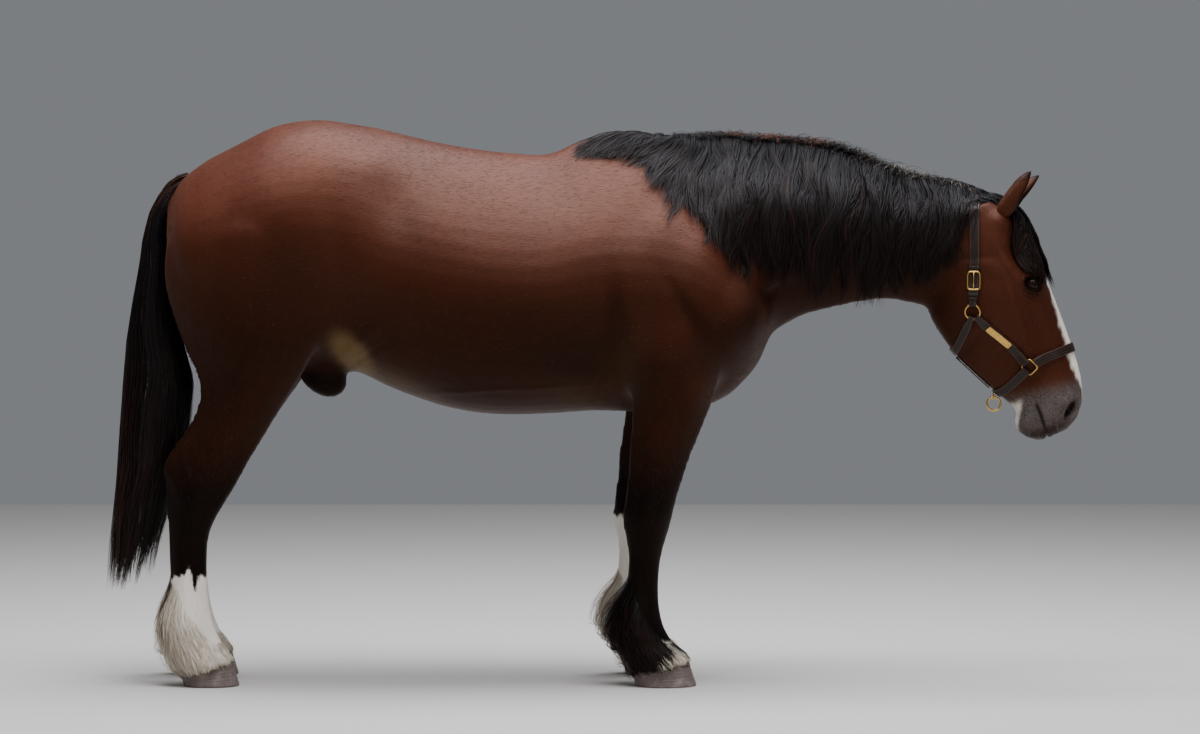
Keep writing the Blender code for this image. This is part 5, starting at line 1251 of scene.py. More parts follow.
# Hair in blades: the same colours as the skin it grows from, a shade lighter at some tips. Its
# relief starts from the way the skin faces, so that the tufts blend with it.
def tuft_surface(tree):
    surface, _ = coat_surface(tree)
    tone, along = (
        node(tree, "Attribute", output="Fac", attribute_name=name) for name in ("tone", "along")
    )
    lighter = node(tree, "Math", {0: tone, 1: along}, operation="MULTIPLY")
    lighter = node(tree, "Math", {0: lighter, 1: 0.05}, operation="MULTIPLY")
    surface["Base Color"] = layered(tree, surface["Base Color"], (lighter, "#c59a80"))
    lay = node(tree, "Attribute", output="Vector", attribute_name="facing")
    feed(tree, surface["Normal"].node.inputs["Normal"], lay)
    surface["Roughness"] = 0.51
    return surface


tufted = finish("tufted_bay_coat", tuft_surface)
skin_bend = bend(skin)


def short_tufts(name, count, density, length, width):
    """Blades rooted in the skin that follow it as it curves and lift a little towards the tip."""
    roots, out, corner = sampled(skin, count, density)
    way = lie(roots, out)
    turn = rng.normal(0, 0.16, count)[:, None]
    way = way * np.cos(turn) + np.cross(out, way) * np.sin(turn)
    size = rng.uniform(*length, count)[:, None]
    low = 1 - 0.45 * ramp(-roots[:, 2], -0.7, -0.3)[:, None]
    size = size * low
    t = np.array([0, 0.45, 1.0])
    rise = np.array([-0.0004, 0.0003, 0.0006]) - skin_bend[corner][:, None] * (size * t) ** 2 / 2
    paths = roots[:, None] + way[:, None] * (size * t)[..., None] + out[:, None] * rise[..., None]
    wide = np.broadcast_to(rng.uniform(*width, count)[:, None] * np.array([0.35, 1.0, 0.08]), (count, 3))
    roll = rng.normal(0, 0.05, count)[:, None]
    facing = unit(out + np.cross(way, out) * roll)
    shown = markings(roots)
    shown["black_and_painted_shade"] = np.maximum(shown["black_and_painted_shade"], hidden[corner])
    shown["white"] = shown["white"] * (hidden[corner] == 0)
    shown["limb"] = np.maximum(low_leg(roots), on_head(roots))
    facing = np.broadcast_to(facing[:, None], paths.shape)
    mesh = ribbons(name, paths, facing, wide, roots, tone=rng.random(count), **shown)
    lay = mesh.attributes.new("facing", "FLOAT_VECTOR", "POINT")
    lay.data.foreach_set("vector", np.repeat(out, 6, axis=0).astype(np.float32).ravel())
    piece(mesh, tufted, "bay_coat")


def over_trunk(points):
    """How close the trunk's tufts stand: they end above the knee and behind the head."""
    return (1 - on_head(points)) * ramp(points[:, 2], 0.50, 0.75) * openness(points)


def over_limbs(points):
    """How close the other tufts stand: closest on the head, and down to the hooves."""
    legs = low_leg(points) * (points[:, 2] > 0.05)
    return (on_head(points) * 2.2 + legs) * openness(points)


many = 1.0  # share of the hair that is shown
short_tufts("coat_trunk", int(42000 * many), over_trunk, (0.014, 0.026), (0.0014, 0.0024))
short_tufts("coat_limbs_and_head", int(47000 * many), over_limbs, (0.007, 0.013), (0.0011, 0.0020))

# Feather: hair 30 to 170 mm long that grows from the backs and sides of the cannons and from the
# pasterns, and hangs over the hooves. Each strand is a blade from the skin out to the rails below.

FORE_FEATHER = [
    (0.200, 0.330, 0.075, 0.320, -0.175, 0.036, 0.042, 0.030, 0.9),
    (0.205, 0.268, 0.026, 0.262, -0.175, 0.048, 0.058, 0.040, 0.9),
    (0.216, 0.207, 0.010, 0.200, -0.175, 0.056, 0.070, 0.048, 0.9),
    (0.226, 0.165, 0.008, 0.165, -0.175, 0.060, 0.077, 0.050, 0.9),
    (0.246, 0.137, 0.018, 0.120, -0.175, 0.066, 0.082, 0.052, 0.9),
    (0.272, 0.116, 0.040, 0.080, -0.175, 0.076, 0.090, 0.058, 0.9),
    (0.298, 0.090, 0.070, 0.045, -0.175, 0.084, 0.096, 0.060, 0.9),
    (0.303, 0.070, 0.100, 0.018, -0.175, 0.084, 0.096, 0.060, 0.9),
]
HIND_FEATHER = [
    (-1.178, 0.360, -1.300, 0.350, -0.175, 0.040, 0.046, 0.034, 0.9),
    (-1.166, 0.290, -1.312, 0.280, -0.175, 0.048, 0.058, 0.040, 0.9),
    (-1.160, 0.225, -1.340, 0.215, -0.175, 0.056, 0.070, 0.048, 0.9),
    (-1.152, 0.180, -1.352, 0.160, -0.175, 0.060, 0.077, 0.050, 0.9),
    (-1.136, 0.142, -1.352, 0.110, -0.175, 0.066, 0.082, 0.052, 0.9),
    (-1.114, 0.106, -1.334, 0.070, -0.175, 0.076, 0.088, 0.058, 0.9),
    (-1.098, 0.084, -1.300, 0.040, -0.175, 0.080, 0.092, 0.060, 0.9),
    (-1.094, 0.068, -1.262, 0.018, -0.175, 0.080, 0.092, 0.060, 0.9),
]


def reach_table(tree, centres, angles, heights, fallback):
    """How far a surface is from an upright axis at each height and way round."""
    far = np.empty((len(heights), len(angles)))
    for i, z in enumerate(heights):
        for j, angle in enumerate(angles):
            way = Vector((math.cos(angle), -math.sin(angle), 0))
            centre = Vector((centres[i], -STANCE, z))
            hit = tree.ray_cast(centre + way * 0.15, -way, 0.15)[0]
            far[i, j] = (hit - centre).dot(way) if hit else fallback
    return far


def looked_up(table, i, j):
    """Values between the four nearest entries of a table."""
    i = np.clip(i, 0, table.shape[0] - 1.001)
    j = np.clip(j, 0, table.shape[1] - 1.001)
    a, b = np.floor(i).astype(int), np.floor(j).astype(int)
    u, v = i - a, j - b
    if table.ndim == 3:
        u, v = u[..., None], v[..., None]
    low = table[a, b] * (1 - v) + table[a, b + 1] * v
    high = table[a + 1, b] * (1 - v) + table[a + 1, b + 1] * v
    return low * (1 - u) + high * u


# Coarse long hair: cream to ochre where it is white, else black going brown at the ends.
def hair_surface(tree):
    tone, white, rust, ochre = (
        node(tree, "Attribute", output="Fac", attribute_name=name)
        for name in ("tone", "white", "rust", "ochre")
    )
    jet = layered(tree, "#040304", (tone, "#110f11"), (rust, "#7a4220"))
    cream = layered(tree, "#f4eee2", (tone, "#c9bba2"), (ochre, "#9a7446"))
    return {
        "Base Color": layered(tree, jet, (white, cream)),
        "Roughness": 0.45,
        "Specular IOR Level": 0.12,
    }


long_hair = finish("coarse_long_hair", hair_surface)


def jittered(facing, spread):
    """Each blade turned a little its own way, so that locks take the light unevenly."""
    return unit(facing + rng.normal(0, spread, (len(facing), 1, 3)))


def tapered(low, high, count, t, root=0.8, full=0.2):
    """Widths of blades between two limits, narrower at the root and nearly nothing at the tip."""
    shape = np.interp(t, [0, full, 0.8, 1], [root, 1, 0.8, 0.12])
    return rng.uniform(low, high, count)[:, None] * shape


def strands(name, paths, facing, width, tone, rust=0, white=0, ochre=0, slot="black_hair"):
    """A piece of long hair: blades along paths, with their shares of each colour."""
    shares = {"tone": tone, "rust": rust, "white": white, "ochre": ochre}
    mesh = ribbons(name, paths, facing, width, paths[:, 0], **shares)
    piece(mesh, long_hair, slot)


def feather(name, rails, leg, count):
    """Strands round one right leg, longest at the back, that leave the skin and fall to the edge."""
    rows = np.array(leg, float)[::-1]
    heights = np.linspace(0.012, 0.40, 44)
    centres = np.interp(heights, (rows[:, 1] + rows[:, 3]) / 2, (rows[:, 0] + rows[:, 2]) / 2)
    angles = np.linspace(-math.pi, math.pi, 49)
    bare = reach_table(skin_tree, centres, angles, heights, 0.04)
    grid = loft(rails, 0.008, 48)
    faces = ring_quads(*grid.shape[:2])
    edge_tree = BVHTree.FromPolygons(grid.reshape(-1, 3).tolist(), faces.tolist())
    edge = np.maximum(reach_table(edge_tree, centres, angles, heights, 0.0), bare + 0.003)
    turn = rng.uniform(-math.pi, math.pi, count)
    rear = (1 - np.cos(turn)) / 2
    top = 0.125 + 0.215 * rear**0.8
    root = 0.062 + (top - 0.062) * rng.random(count) ** 0.75
    root = np.where(rear < 0.12, 0.085 + 0.055 * rng.random(count), root)
    clump = np.floor(rng.random(count) * 46)
    lean = np.sin(clump * 2.4) * 0.14
    length = (0.055 + 0.105 * rear) * rng.uniform(0.6, 1.05, count)
    t = np.linspace(0, 1, 7)
    z = np.maximum(root[:, None] - length[:, None] * t**0.92, 0.004 + 0.02 * rng.random((count, 1)) * t)
    pull = (clump % 12 - 5.5) / 5.5 * 0.05
    around = turn[:, None] + (lean + pull)[:, None] * t**1.3 + 0.03 * np.sin(6 * t + clump[:, None])

    def where(z, turn):
        """Rows and columns of the tables, by height and angle round the leg."""
        row = (z - heights[0]) / (heights[1] - heights[0])
        return row, np.mod(turn + math.pi, 2 * math.pi) / (angles[1] - angles[0])

    inner, outer = looked_up(bare, *where(z, around)), looked_up(edge, *where(z, around))
    depth = rng.beta(2.2, 1.2, count)[:, None]
    share = depth * np.interp(t, [0, 0.25, 0.6, 1.0], [0.0, 0.45, 0.9, 1.0])
    far = inner + (outer - inner) * share + 0.0015 * np.sin(9 * t + clump[:, None])
    far[:, 0] = inner[:, 0] - 0.002
    bristle = np.arange(count) >= count - count // 9
    front = (1 + np.cos(turn)) / 2
    line = (0.041 + 0.040 * front) + rng.uniform(-0.002, 0.010, count)
    drop = line[:, None] - rng.uniform(0.012, 0.024, count)[:, None] * t
    z = np.where(bristle[:, None], np.maximum(drop, 0.006), z)
    short_in = looked_up(bare, *where(z, turn[:, None] + 0 * t))
    short_far = np.maximum(short_in, short_in[:, :1]) + 0.0025 + 0.004 * t
    short_far[:, 0] = short_in[:, 0] - 0.002
    far = np.where(bristle[:, None], short_far, far)
    around = np.where(bristle[:, None], turn[:, None], around)
    centre = np.interp(z, heights, centres)
    paths = np.stack([centre + far * np.cos(around), -STANCE - far * np.sin(around), z], axis=-1)
    facing = np.stack([np.cos(around), -np.sin(around), 0.35 + 0 * around], axis=-1)
    facing = jittered(facing, 0.25)
    wide = tapered(0.0010, 0.0026, count, t, 0.7, 0.3) / many**0.3
    left_back = LEFT_FORE_BACK if name == "fore" else LEFT_HIND_BACK
    for side, word, back in ((-1, "right", 0), (1, "left", left_back)):
        moved, looking = paths.copy(), facing.copy()
        if side > 0:
            moved[..., 0] -= back
            moved[..., 1] *= -1
            looking[..., 1] *= -1
        dark_edge = rng.uniform(*((0.0, 0.5) if name == "fore" else (0.1, 1.2)), count).clip(0, 1)
        white = markings(moved[:, 0])["white"] * np.where(bristle, dark_edge, 1.0)
        ochre = np.clip(rng.normal(0.10, 0.12, count) + 0.35 * rear * rng.random(count), 0, 1)
        ochre = ochre[:, None] * (0.4 + 0.6 * t)
        rust = 0.10 * rng.random(count)[:, None] * t
        tone = rng.random(count) ** 1.5
        slot = "black_hair" if name == "fore" and side < 0 else "white_hair"
        strands("feather_" + name + "_" + word, moved, looking, wide, tone, rust, white, ochre, slot)


feather("fore", FORE_FEATHER, FORELEG, int(7500 * many))
feather("hind", HIND_FEATHER, HINDLEG, int(7500 * many))

# Mane: hair up to half a metre long that leaves the crest and hangs on the near side in waved,
# clumped locks, layer over layer, with short bleached hair along the crest.


def between(at, knots, rows):
    """Rows of numbers at places among their knots, on a straight line from each row to the next."""
    return np.stack([np.interp(at, knots, column) for column in np.transpose(rows)], axis=-1)


def draped(axis, ways):
    """For each station on an axis, the skin's outline found from outside along fanned ways, made
    to hang straight where it would turn in, and stepped evenly by length from its first way."""
    steps = np.linspace(0, 0.62, 63)
    made = np.empty((len(axis), len(steps), 6))
    for i, centre in enumerate(axis):
        rows = struck(centre + ways * 0.8, -ways)
        rows = rows[~np.isnan(rows[:, 0])]
        rows[:, 1] = np.minimum.accumulate(rows[:, 1])
        far = run_of(rows[:, :3])
        made[i] = between(steps, far, rows)
        made[i, :, 2] -= np.clip(steps - far[-1], 0, 1)
    return made, steps


xs = np.linspace(-0.02, 1.19, 62)
mid = np.interp(xs, [0, 0.3, 0.6, 0.9, 1.19], [1.30, 1.36, 1.42, 1.40, 1.34])
fan = np.radians(np.linspace(0, 140, 46))
ways = np.stack([0 * fan, -np.sin(fan), np.cos(fan)], axis=-1)
neck_side, neck_run = draped(np.stack([xs, 0 * xs, mid], axis=-1), ways)


def on_neck(x, far):
    """Places on the neck and the ways they face, by x and the length down from the crest."""
    i = (x - xs[0]) / (xs[1] - xs[0])
    found = looked_up(neck_side, i, far / neck_run[1])
    found[..., 0] = x
    return found[..., :3], unit(found[..., 3:])


def mane(name, locks, each, lifts):
    """Locks side by side from the withers to the poll. Each strand leaves the crest, crosses to
    its lock's tip on a long curve with two waves on it, and gathers towards the lock's middle."""
    rail, knots = np.array(MANE), np.linspace(0, 1, len(MANE))
    share = np.sort((np.arange(locks) + rng.random(locks)) / locks)
    root = np.interp(share, knots, rail[:, 0])
    tip_x = np.interp(share, knots, rail[:, 1]) + rng.normal(0, 0.022, locks)
    ragged = rng.uniform(-0.020, 0.070, locks) * ramp(root, 0.1, 0.3) * ramp(-root, -1.10, -0.85)
    tip_z = np.interp(share, knots, rail[:, 2]) + ragged
    i = ((tip_x - xs[0]) / (xs[1] - xs[0])).astype(int).clip(0, len(xs) - 1)
    length = np.array([np.interp(-z, -neck_side[k, :, 2], neck_run) for k, z in zip(i, tip_z)])
    power = np.interp(root, [0.10, 0.30, 0.60, 1.10], [0.75, 0.90, 1.25, 1.5])
    lift = rng.uniform(*lifts, locks) * np.interp(root, [0.1, 0.3], [0.45, 1])
    waves = (0, 6.3), (0.0015, 0.0065), (0.12, 0.20), (0, 6.3), (0.007, 0.020)
    wave, amp, pitch, slow, bow = (rng.uniform(*limits, locks) for limits in waves)
    of = np.repeat(np.arange(locks), each)
    count = len(of)
    t = np.linspace(0, 1, 12)
    part = rng.normal(0, 0.5, count).clip(-1, 1)
    fine = rng.uniform(0.0, 6.3, count)
    rear = ramp(-root[of], -0.45, -0.25)
    stray = rng.normal(0, 0.022, count) * (rng.random(count) < 0.25)
    broken = (0.38 + 0.3 * rear) * rng.random(count) ** (1.6 - 0.6 * rear)
    far = (length[of] * (1.04 - broken))[:, None] * t
    apart = 0.020 * (1 - t) + 0.010 * np.sin(math.pi * t) + 0.004 + 0.012 * rear[:, None] * t
    side = part[:, None] * apart + (stray + rng.normal(0, 0.003, count))[:, None] * t
    x = root[of][:, None] + (tip_x - root)[of][:, None] * t ** power[of][:, None] + side
    turn = 2 * math.pi * far / pitch[of][:, None] + wave[of][:, None]
    swing = amp[of][:, None] * np.sin(turn)
    swing += bow[of][:, None] * np.sin(2 * math.pi * far / 0.34 + slow[of][:, None])
    x = x + (swing + 0.0015 * np.sin(2 * math.pi * far / 0.09 + fine[:, None])) * ramp(t, 0, 0.3)
    place, out = on_neck(x, far)
    up = np.interp(t, [0, 0.08, 0.5, 1.0], [0.0, 0.85, 1.0, 0.75])
    deep = rng.uniform(-0.4, 0.5, count)
    height = lift[of][:, None] * up * (1 + 0.5 * deep[:, None] - 0.5 * part[:, None] ** 2)
    height += 0.0025 * np.sin(turn + 1.6) * ramp(t, 0, 0.3)
    height[:, 0] = -0.003
    place[:, 0, 1] += rng.uniform(-0.010, 0.010, count)
    paths = place + out * height[..., None]
    facing = jittered(out, 0.28)
    wide = tapered(0.0013, 0.0024, count, t)
    rust = 0.06 * rng.random(count)[:, None] * t + 0.10 * (rng.random(count) < 0.03)[:, None]
    strands(name, paths, facing, wide, rng.random(count) ** 2, rust)


def crest_hair(count):
    """Short broken hair that stands along the crest and curls to either side of it: ginger over
    the middle of the neck and greyed towards the poll."""
    x = rng.uniform(0.26, 1.17, count)
    t = np.linspace(0, 1, 8)
    length = rng.uniform(0.025, 0.060, count) * np.where(rng.random(count) < 0.12, 1.4, 1.0)
    lean = rng.normal(-0.008, 0.030, count) - 0.02 * ramp(x, 0.8, 1.1)
    place, _ = on_neck(x, np.zeros(count))
    high = length * rng.uniform(0.10, 0.42, count)
    to_side = -rng.uniform(0.3, 1.0, count) * length * np.where(rng.random(count) < 0.22, -1, 1)
    curl = rng.uniform(0, 6.3, count)
    paths = np.empty((count, 8, 3))
    paths[..., 0] = (x + rng.normal(0, 0.003, count))[:, None] + lean[:, None] * t
    paths[..., 0] += 0.002 * np.sin(5 * t + curl[:, None])
    paths[..., 1] = rng.uniform(-0.012, 0.010, count)[:, None] + to_side[:, None] * t**1.4
    arch = high[:, None] * np.sin(math.pi * 0.62 * t) - 0.35 * np.abs(to_side)[:, None] * t**2.2
    paths[..., 2] = place[:, None, 2] - 0.002 + arch
    facing = jittered(np.broadcast_to(np.array([0.0, -0.5, 0.85]), paths.shape), 0.3)
    wide = tapered(0.0010, 0.0018, count, t, full=0.3)
    patchy = ramp(np.sin(x * 47) + np.sin(x * 113 + 1) + rng.normal(0, 0.4, count), 0.0, 1.2)
    ginger = oval(x - 0.57, 0, 0.17, 1, 0) * rng.uniform(0.2, 0.8, count) * patchy
    greyed = 0.35 * ramp(x, 0.80, 0.95) * (rng.random(count) < 0.35) * rng.random(count)
    strands("mane_crest", paths, facing, wide, rng.random(count), np.clip(ginger, 0, 1), greyed, 0.5)


mane("mane_under", 80, int(88 * many), (0.004, 0.014))
mane("mane_over", 80, int(92 * many), (0.012, 0.025))
crest_hair(int(3600 * many))

# Forelock: the mane's first hair, which falls forward between the ears and drifts over the near
# side of the forehead to the eye.

FOREHEAD = 88  # how far round to each side, in degrees, with a place every 2
downs = np.linspace(-0.06, 0.36, 43)
fan = np.radians(np.arange(-FOREHEAD, FOREHEAD + 1, 2))
over_way = np.array([-FACE[1], 0, FACE[0]])
fans = over_way * np.cos(fan)[:, None] + np.array([0, -1, 0]) * np.sin(fan)[:, None]
x, z = from_head(downs, -0.13)
middle = np.stack([x, 0 * x, z], axis=-1)[:, None]
brow = struck(middle + fans * 0.5, -fans).reshape(len(downs), len(fan), 6)


def forelock(count):
    """Two bundles down the face: one over the middle, and a fuller one that reaches the near eye.
    Each strand turns from the poll to its clump's place round the forehead as it goes down."""
    t = np.linspace(0, 1, 14)
    clump = rng.integers(0, 34, count)
    across = (np.sin(clump * 7.7) + 1) / 2
    part = rng.normal(0, 1, count).clip(-2, 2)
    rear = across > 0.34
    root = rng.uniform(-0.040, 0.020, count)
    end = np.where(rear, 21 + 21 * (across - 0.34) / 0.66, -9 + 20 * across / 0.34)
    fuller = 0.238 + 0.050 * np.sin(math.pi * np.clip((end - 16) / 24, 0, 1))
    tip = np.where(rear, fuller, 0.315 - 0.06 * np.abs(end - 3) / 12)
    tip = tip * (1.04 - 0.34 * rng.random(count) ** 2)
    s = root[:, None] + (tip - root)[:, None] * t
    start = rng.uniform(-8, 8, count)
    turn = start[:, None] + (end + 2.0 * part - start)[:, None] * ramp(t, 0.0, 1.0)
    sway = 1.5 * np.sin(2 * math.pi * s / 0.10 + clump[:, None])
    turn += (sway + part[:, None] * 1.6 * np.sin(math.pi * t)) * ramp(t, 0.1, 0.4)
    turn -= 1.6 * part[:, None] * ramp(t, 0.7, 1.0)
    found = looked_up(brow, (s - downs[0]) / (downs[1] - downs[0]), (turn + FOREHEAD) / 2)
    place, out = found[..., :3], unit(found[..., 3:])
    high = np.where(rear, 0.016, 0.024) * rng.uniform(0.25, 1.0, count)
    lift = high[:, None] * np.interp(t, [0, 0.12, 0.5, 0.85, 1], [0, 0.8, 1, 0.9, 0.7])
    lift += 0.0018 * np.sin(2 * math.pi * s / 0.08 + 2.1 * clump[:, None]) * ramp(t, 0.1, 0.3)
    lift[:, 0] = -0.003
    paths = place + out * lift[..., None]
    facing = jittered(out, 0.28)
    wide = tapered(0.0011, 0.0020, count, t)
    tone = rng.random(count) ** 2
    strands("forelock", paths, facing, wide, tone, 0.10 * rng.random(count)[:, None] * t)


def poll_hair(count):
    """Hair that lies forward over the poll, across the crown strap, to between the ears."""
    gx, gy = np.linspace(1.02, 1.31, 30), np.linspace(-0.075, 0.075, 31)
    above = np.stack([*np.meshgrid(gx, gy, indexing="ij"), np.full((30, 31), 2.0)], axis=-1)
    top = struck(above, np.array([0, 0, -1])).reshape(30, 31, 6)
    t = np.linspace(0, 1, 12)
    clump = rng.integers(0, 14, count)
    x = rng.uniform(1.05, 1.19, count)[:, None] + rng.uniform(0.07, 0.12, count)[:, None] * t
    y = rng.uniform(-0.020, 0.016, count)[:, None] - (0.012 + 0.022 * np.sin(clump)[:, None] ** 2) * t**1.2
    y += 0.004 * np.sin(2 * math.pi * x / 0.07 + clump[:, None]) * t
    found = looked_up(top, (x - gx[0]) / (gx[1] - gx[0]), (y - gy[0]) / (gy[1] - gy[0]))
    place, out = found[..., :3], unit(found[..., 3:])
    lift = rng.uniform(0.004, 0.017, count)[:, None] * np.interp(t, [0, 0.15, 0.5, 1], [0, 0.8, 1, 0.6])
    paths = place + out * (lift - 0.002)[..., None]
    facing = jittered(out, 0.28)
    wide = tapered(0.0011, 0.0020, count, t)
    strands("poll_hair", paths, facing, wide, rng.random(count) ** 2)


forelock(int(4200 * many))
poll_hair(int(1700 * many))

# Tail: a bony dock that carries hair more than a metre long, black, with brown fringes and a few
# grey strands. It hangs against the buttocks and thins out to ragged tips.

TAIL = np.array([
    (-1.262, 1.588, -1.235, 1.520, 0, 0.035, 0.040, 0.035, 1.0),
    (-1.315, 1.548, -1.270, 1.480, 0, 0.038, 0.044, 0.038, 1.0),
    (-1.345, 1.505, -1.296, 1.440, 0, 0.040, 0.048, 0.040, 1.0),
    (-1.375, 1.450, -1.318, 1.410, 0, 0.042, 0.052, 0.044, 1.0),
    (-1.396, 1.365, -1.312, 1.350, 0, 0.048, 0.060, 0.050, 1.0),
    (-1.403, 1.300, -1.310, 1.290, 0, 0.055, 0.068, 0.056, 1.0),
    (-1.426, 1.179, -1.298, 1.170, 0, 0.070, 0.085, 0.070, 1.0),
    (-1.445, 1.055, -1.268, 1.050, -0.005, 0.082, 0.100, 0.080, 1.0),
    (-1.455, 0.931, -1.232, 0.930, -0.008, 0.090, 0.112, 0.085, 1.0),
    (-1.469, 0.745, -1.245, 0.750, -0.010, 0.095, 0.116, 0.085, 1.0),
    (-1.476, 0.637, -1.275, 0.640, -0.010, 0.092, 0.112, 0.085, 1.0),
    (-1.487, 0.525, -1.305, 0.530, -0.012, 0.085, 0.104, 0.080, 1.0),
    (-1.500, 0.417, -1.328, 0.420, -0.014, 0.070, 0.088, 0.066, 1.0),
    (-1.514, 0.342, -1.345, 0.340, -0.016, 0.050, 0.066, 0.048, 1.0),
    (-1.518, 0.280, -1.365, 0.265, -0.040, 0.025, 0.040, 0.025, 1.0),
])


def in_tail(along, turn, reach):
    """A place in the tail: along its length from 0 to 1, round it, and out towards its edge."""
    rows = between(along * (len(TAIL) - 1), np.arange(len(TAIL)), TAIL[:, :7])
    rear_x, rear_z, front_x, front_z, middle, _, half = np.moveaxis(rows, -1, 0)
    back = reach * np.cos(turn)
    x = (rear_x + front_x) / 2 - (front_x - rear_x) / 2 * back
    z = (rear_z + front_z) / 2 + (rear_z - front_z) / 2 * back
    return np.stack([x, middle + half * reach * np.sin(turn), z], axis=-1)


# The core is the dock and the hair closest to it, as one body that the strands hide.
dock = TAIL[:-2].copy()
narrow = np.interp(np.arange(len(dock)), [0, 1, 3, 6, 11, 12], [0.30, 0.62, 0.60, 0.55, 0.3, 0.05])
centre_x, centre_z = (dock[:, 0] + dock[:, 2]) / 2, (dock[:, 1] + dock[:, 3]) / 2
for k, centre in ((0, centre_x), (2, centre_x), (1, centre_z), (3, centre_z)):
    dock[:, k] = centre + (dock[:, k] - centre) * narrow
dock[:, 5:8] *= narrow[:, None]
grid = loft(dock, 0.02, 32)
core = tube("tail_core", grid)
spots = chart(coordinates(core))[read(core.loops, "vertex_index", 1, int)[:, 0]]
core.uv_layers.new(name="OFBake").data.foreach_set("uv", spots.astype(np.float32).ravel())
blank = np.zeros(len(core.vertices))
carry(core, tone=blank, along=blank, white=blank, ochre=blank, rust=blank)
piece(core, long_hair, "black_hair", "tail")


def tail(name, locks, each, reaches):
    """Locks from all round the dock, each strand bent with its lock as it falls through the tail
    and gathered towards its middle."""
    t = np.linspace(0, 1, 16)
    turn = rng.uniform(0, 2 * math.pi, locks)
    reach = rng.uniform(*reaches, locks)
    begin = 0.01 + 0.33 * rng.random(locks) ** 1.5
    finish_at = 1.03 - 0.30 * rng.random(locks) ** 1.3 - 0.08 * (1 - np.cos(turn)) / 2
    wave, bow = rng.uniform(0, 6.3, locks), rng.uniform(-0.35, 0.35, locks)
    of = np.repeat(np.arange(locks), each)
    count = len(of)
    part = rng.normal(0, 0.6, count).clip(-1.3, 1.3)
    deep = rng.normal(0, 0.5, count).clip(-1, 1)
    start = begin[of] + rng.uniform(-0.03, 0.03, count)
    ends = np.minimum(finish_at[of] * (1 - 0.20 * rng.random(count)), 0.995 - 0.03 * rng.random(count))
    along = start[:, None] + (ends - start)[:, None] * t
    gather = np.interp(t, [0, 0.15, 0.6, 1], [0.6, 0.34, 0.26, 0.14])
    angle = turn[of][:, None] + bow[of][:, None] * t + part[:, None] * gather
    angle += 0.07 * np.sin(2 * math.pi * along / 0.16 + wave[of][:, None]) * ramp(t, 0.1, 0.4)
    out = np.interp(t, [0, 0.06, 0.3, 0.8, 1], [0.55, 0.95, 1.0, 1.0, 0.85])
    far = (reach[of][:, None] + 0.10 * deep[:, None]) * out
    far += 0.03 * np.sin(2 * math.pi * along / 0.22 + wave[of][:, None] * 2)
    far = np.clip(far, 0.02, 1.0)
    paths = in_tail(along, angle, far)
    facing = np.stack([-np.cos(angle), np.sin(angle), 0.05 + 0 * angle], axis=-1)
    facing = jittered(facing, 0.25)
    wide = tapered(0.0018, 0.0032, count, t)
    rear = (1 + np.cos(turn[of])) / 2
    rust = 0.40 * rng.random(count) * rear**3 + 0.08 * rng.random(count)
    rust = rust[:, None] * np.interp(t, [0, 0.2, 0.5, 1], [0.9, 0.10, 0.12, 0.8])
    grey = (rng.random(count) < 0.005) * 0.15
    strands(name, paths, facing, wide, rng.random(count), rust, grey, 0.3 * grey)


tail("tail_under", 60, int(72 * many), (0.55, 0.80))
tail("tail_over", 80, int(56 * many), (0.78, 0.98))

# Halter leather: bridle hide 4 mm thick in straps 24 to 31 mm wide, sewn along both edges, that
# lie on the coat, fold round brass rings at the cheeks and the jaw and come back under themselves.

THICK = 0.004
LAYER = 0.0042  # from the skin to the middle of the strap: half its thickness over the coat
RING_LIFT = 0.0098
CHEEK_RING, CHEEK_RADIUS = (1.166, 0.110, 1.143), 0.023
SQUARE_RING, SQUARE_HALF = (1.347, 0.070, 0.974), 0.019
WIRE = 0.0030


def both_ways(half):
    """Guides down the right side, carried on over the middle to the left."""
    return half + [(x, -y, z) for x, y, z in reversed(half) if abs(y) > 1e-6]


def on_skin(places):
    """The places on the skin nearest to some, and the ways they face."""
    found = np.array([skin_tree.find_nearest(Vector(place))[:2] for place in places])
    return found[:, 0], found[:, 1]


def base_line(guides, width):
    """Places every 4 mm along a curve drawn on the skin, the ways out and across there, and how
    high the skin stands under the width, with hollows bridged as taut leather does."""
    guides = np.array(guides, float)
    knots = run_of(guides)
    count = max(8, round(knots[-1] / 0.004))
    places, out = on_skin(spline(knots, guides, np.linspace(0, knots[-1], count)))
    for _ in range(10):
        for values in (places, out):
            values[1:-1] = (values[:-2] + 2 * values[1:-1] + values[2:]) / 4
    way = unit(np.gradient(places, axis=0))
    out = unit(out - way * np.einsum("ij,ij->i", way, out)[:, None])
    across = np.cross(way, out)
    high = np.empty((count, 7))
    for i, j in np.ndindex(high.shape):
        start = places[i] + across[i] * (j / 6 - 0.5) * 0.92 * width + out[i] * 0.04
        hit = skin_tree.ray_cast(Vector(start), Vector(-out[i]), 0.08)[3]
        high[i, j] = 0.04 - (hit or 0.04)
    high = high.max(axis=1)
    for _ in range(14):
        high[1:-1] = np.maximum(high[1:-1], (high[:-2] + high[2:]) / 2)
    return places, out, way, across, high


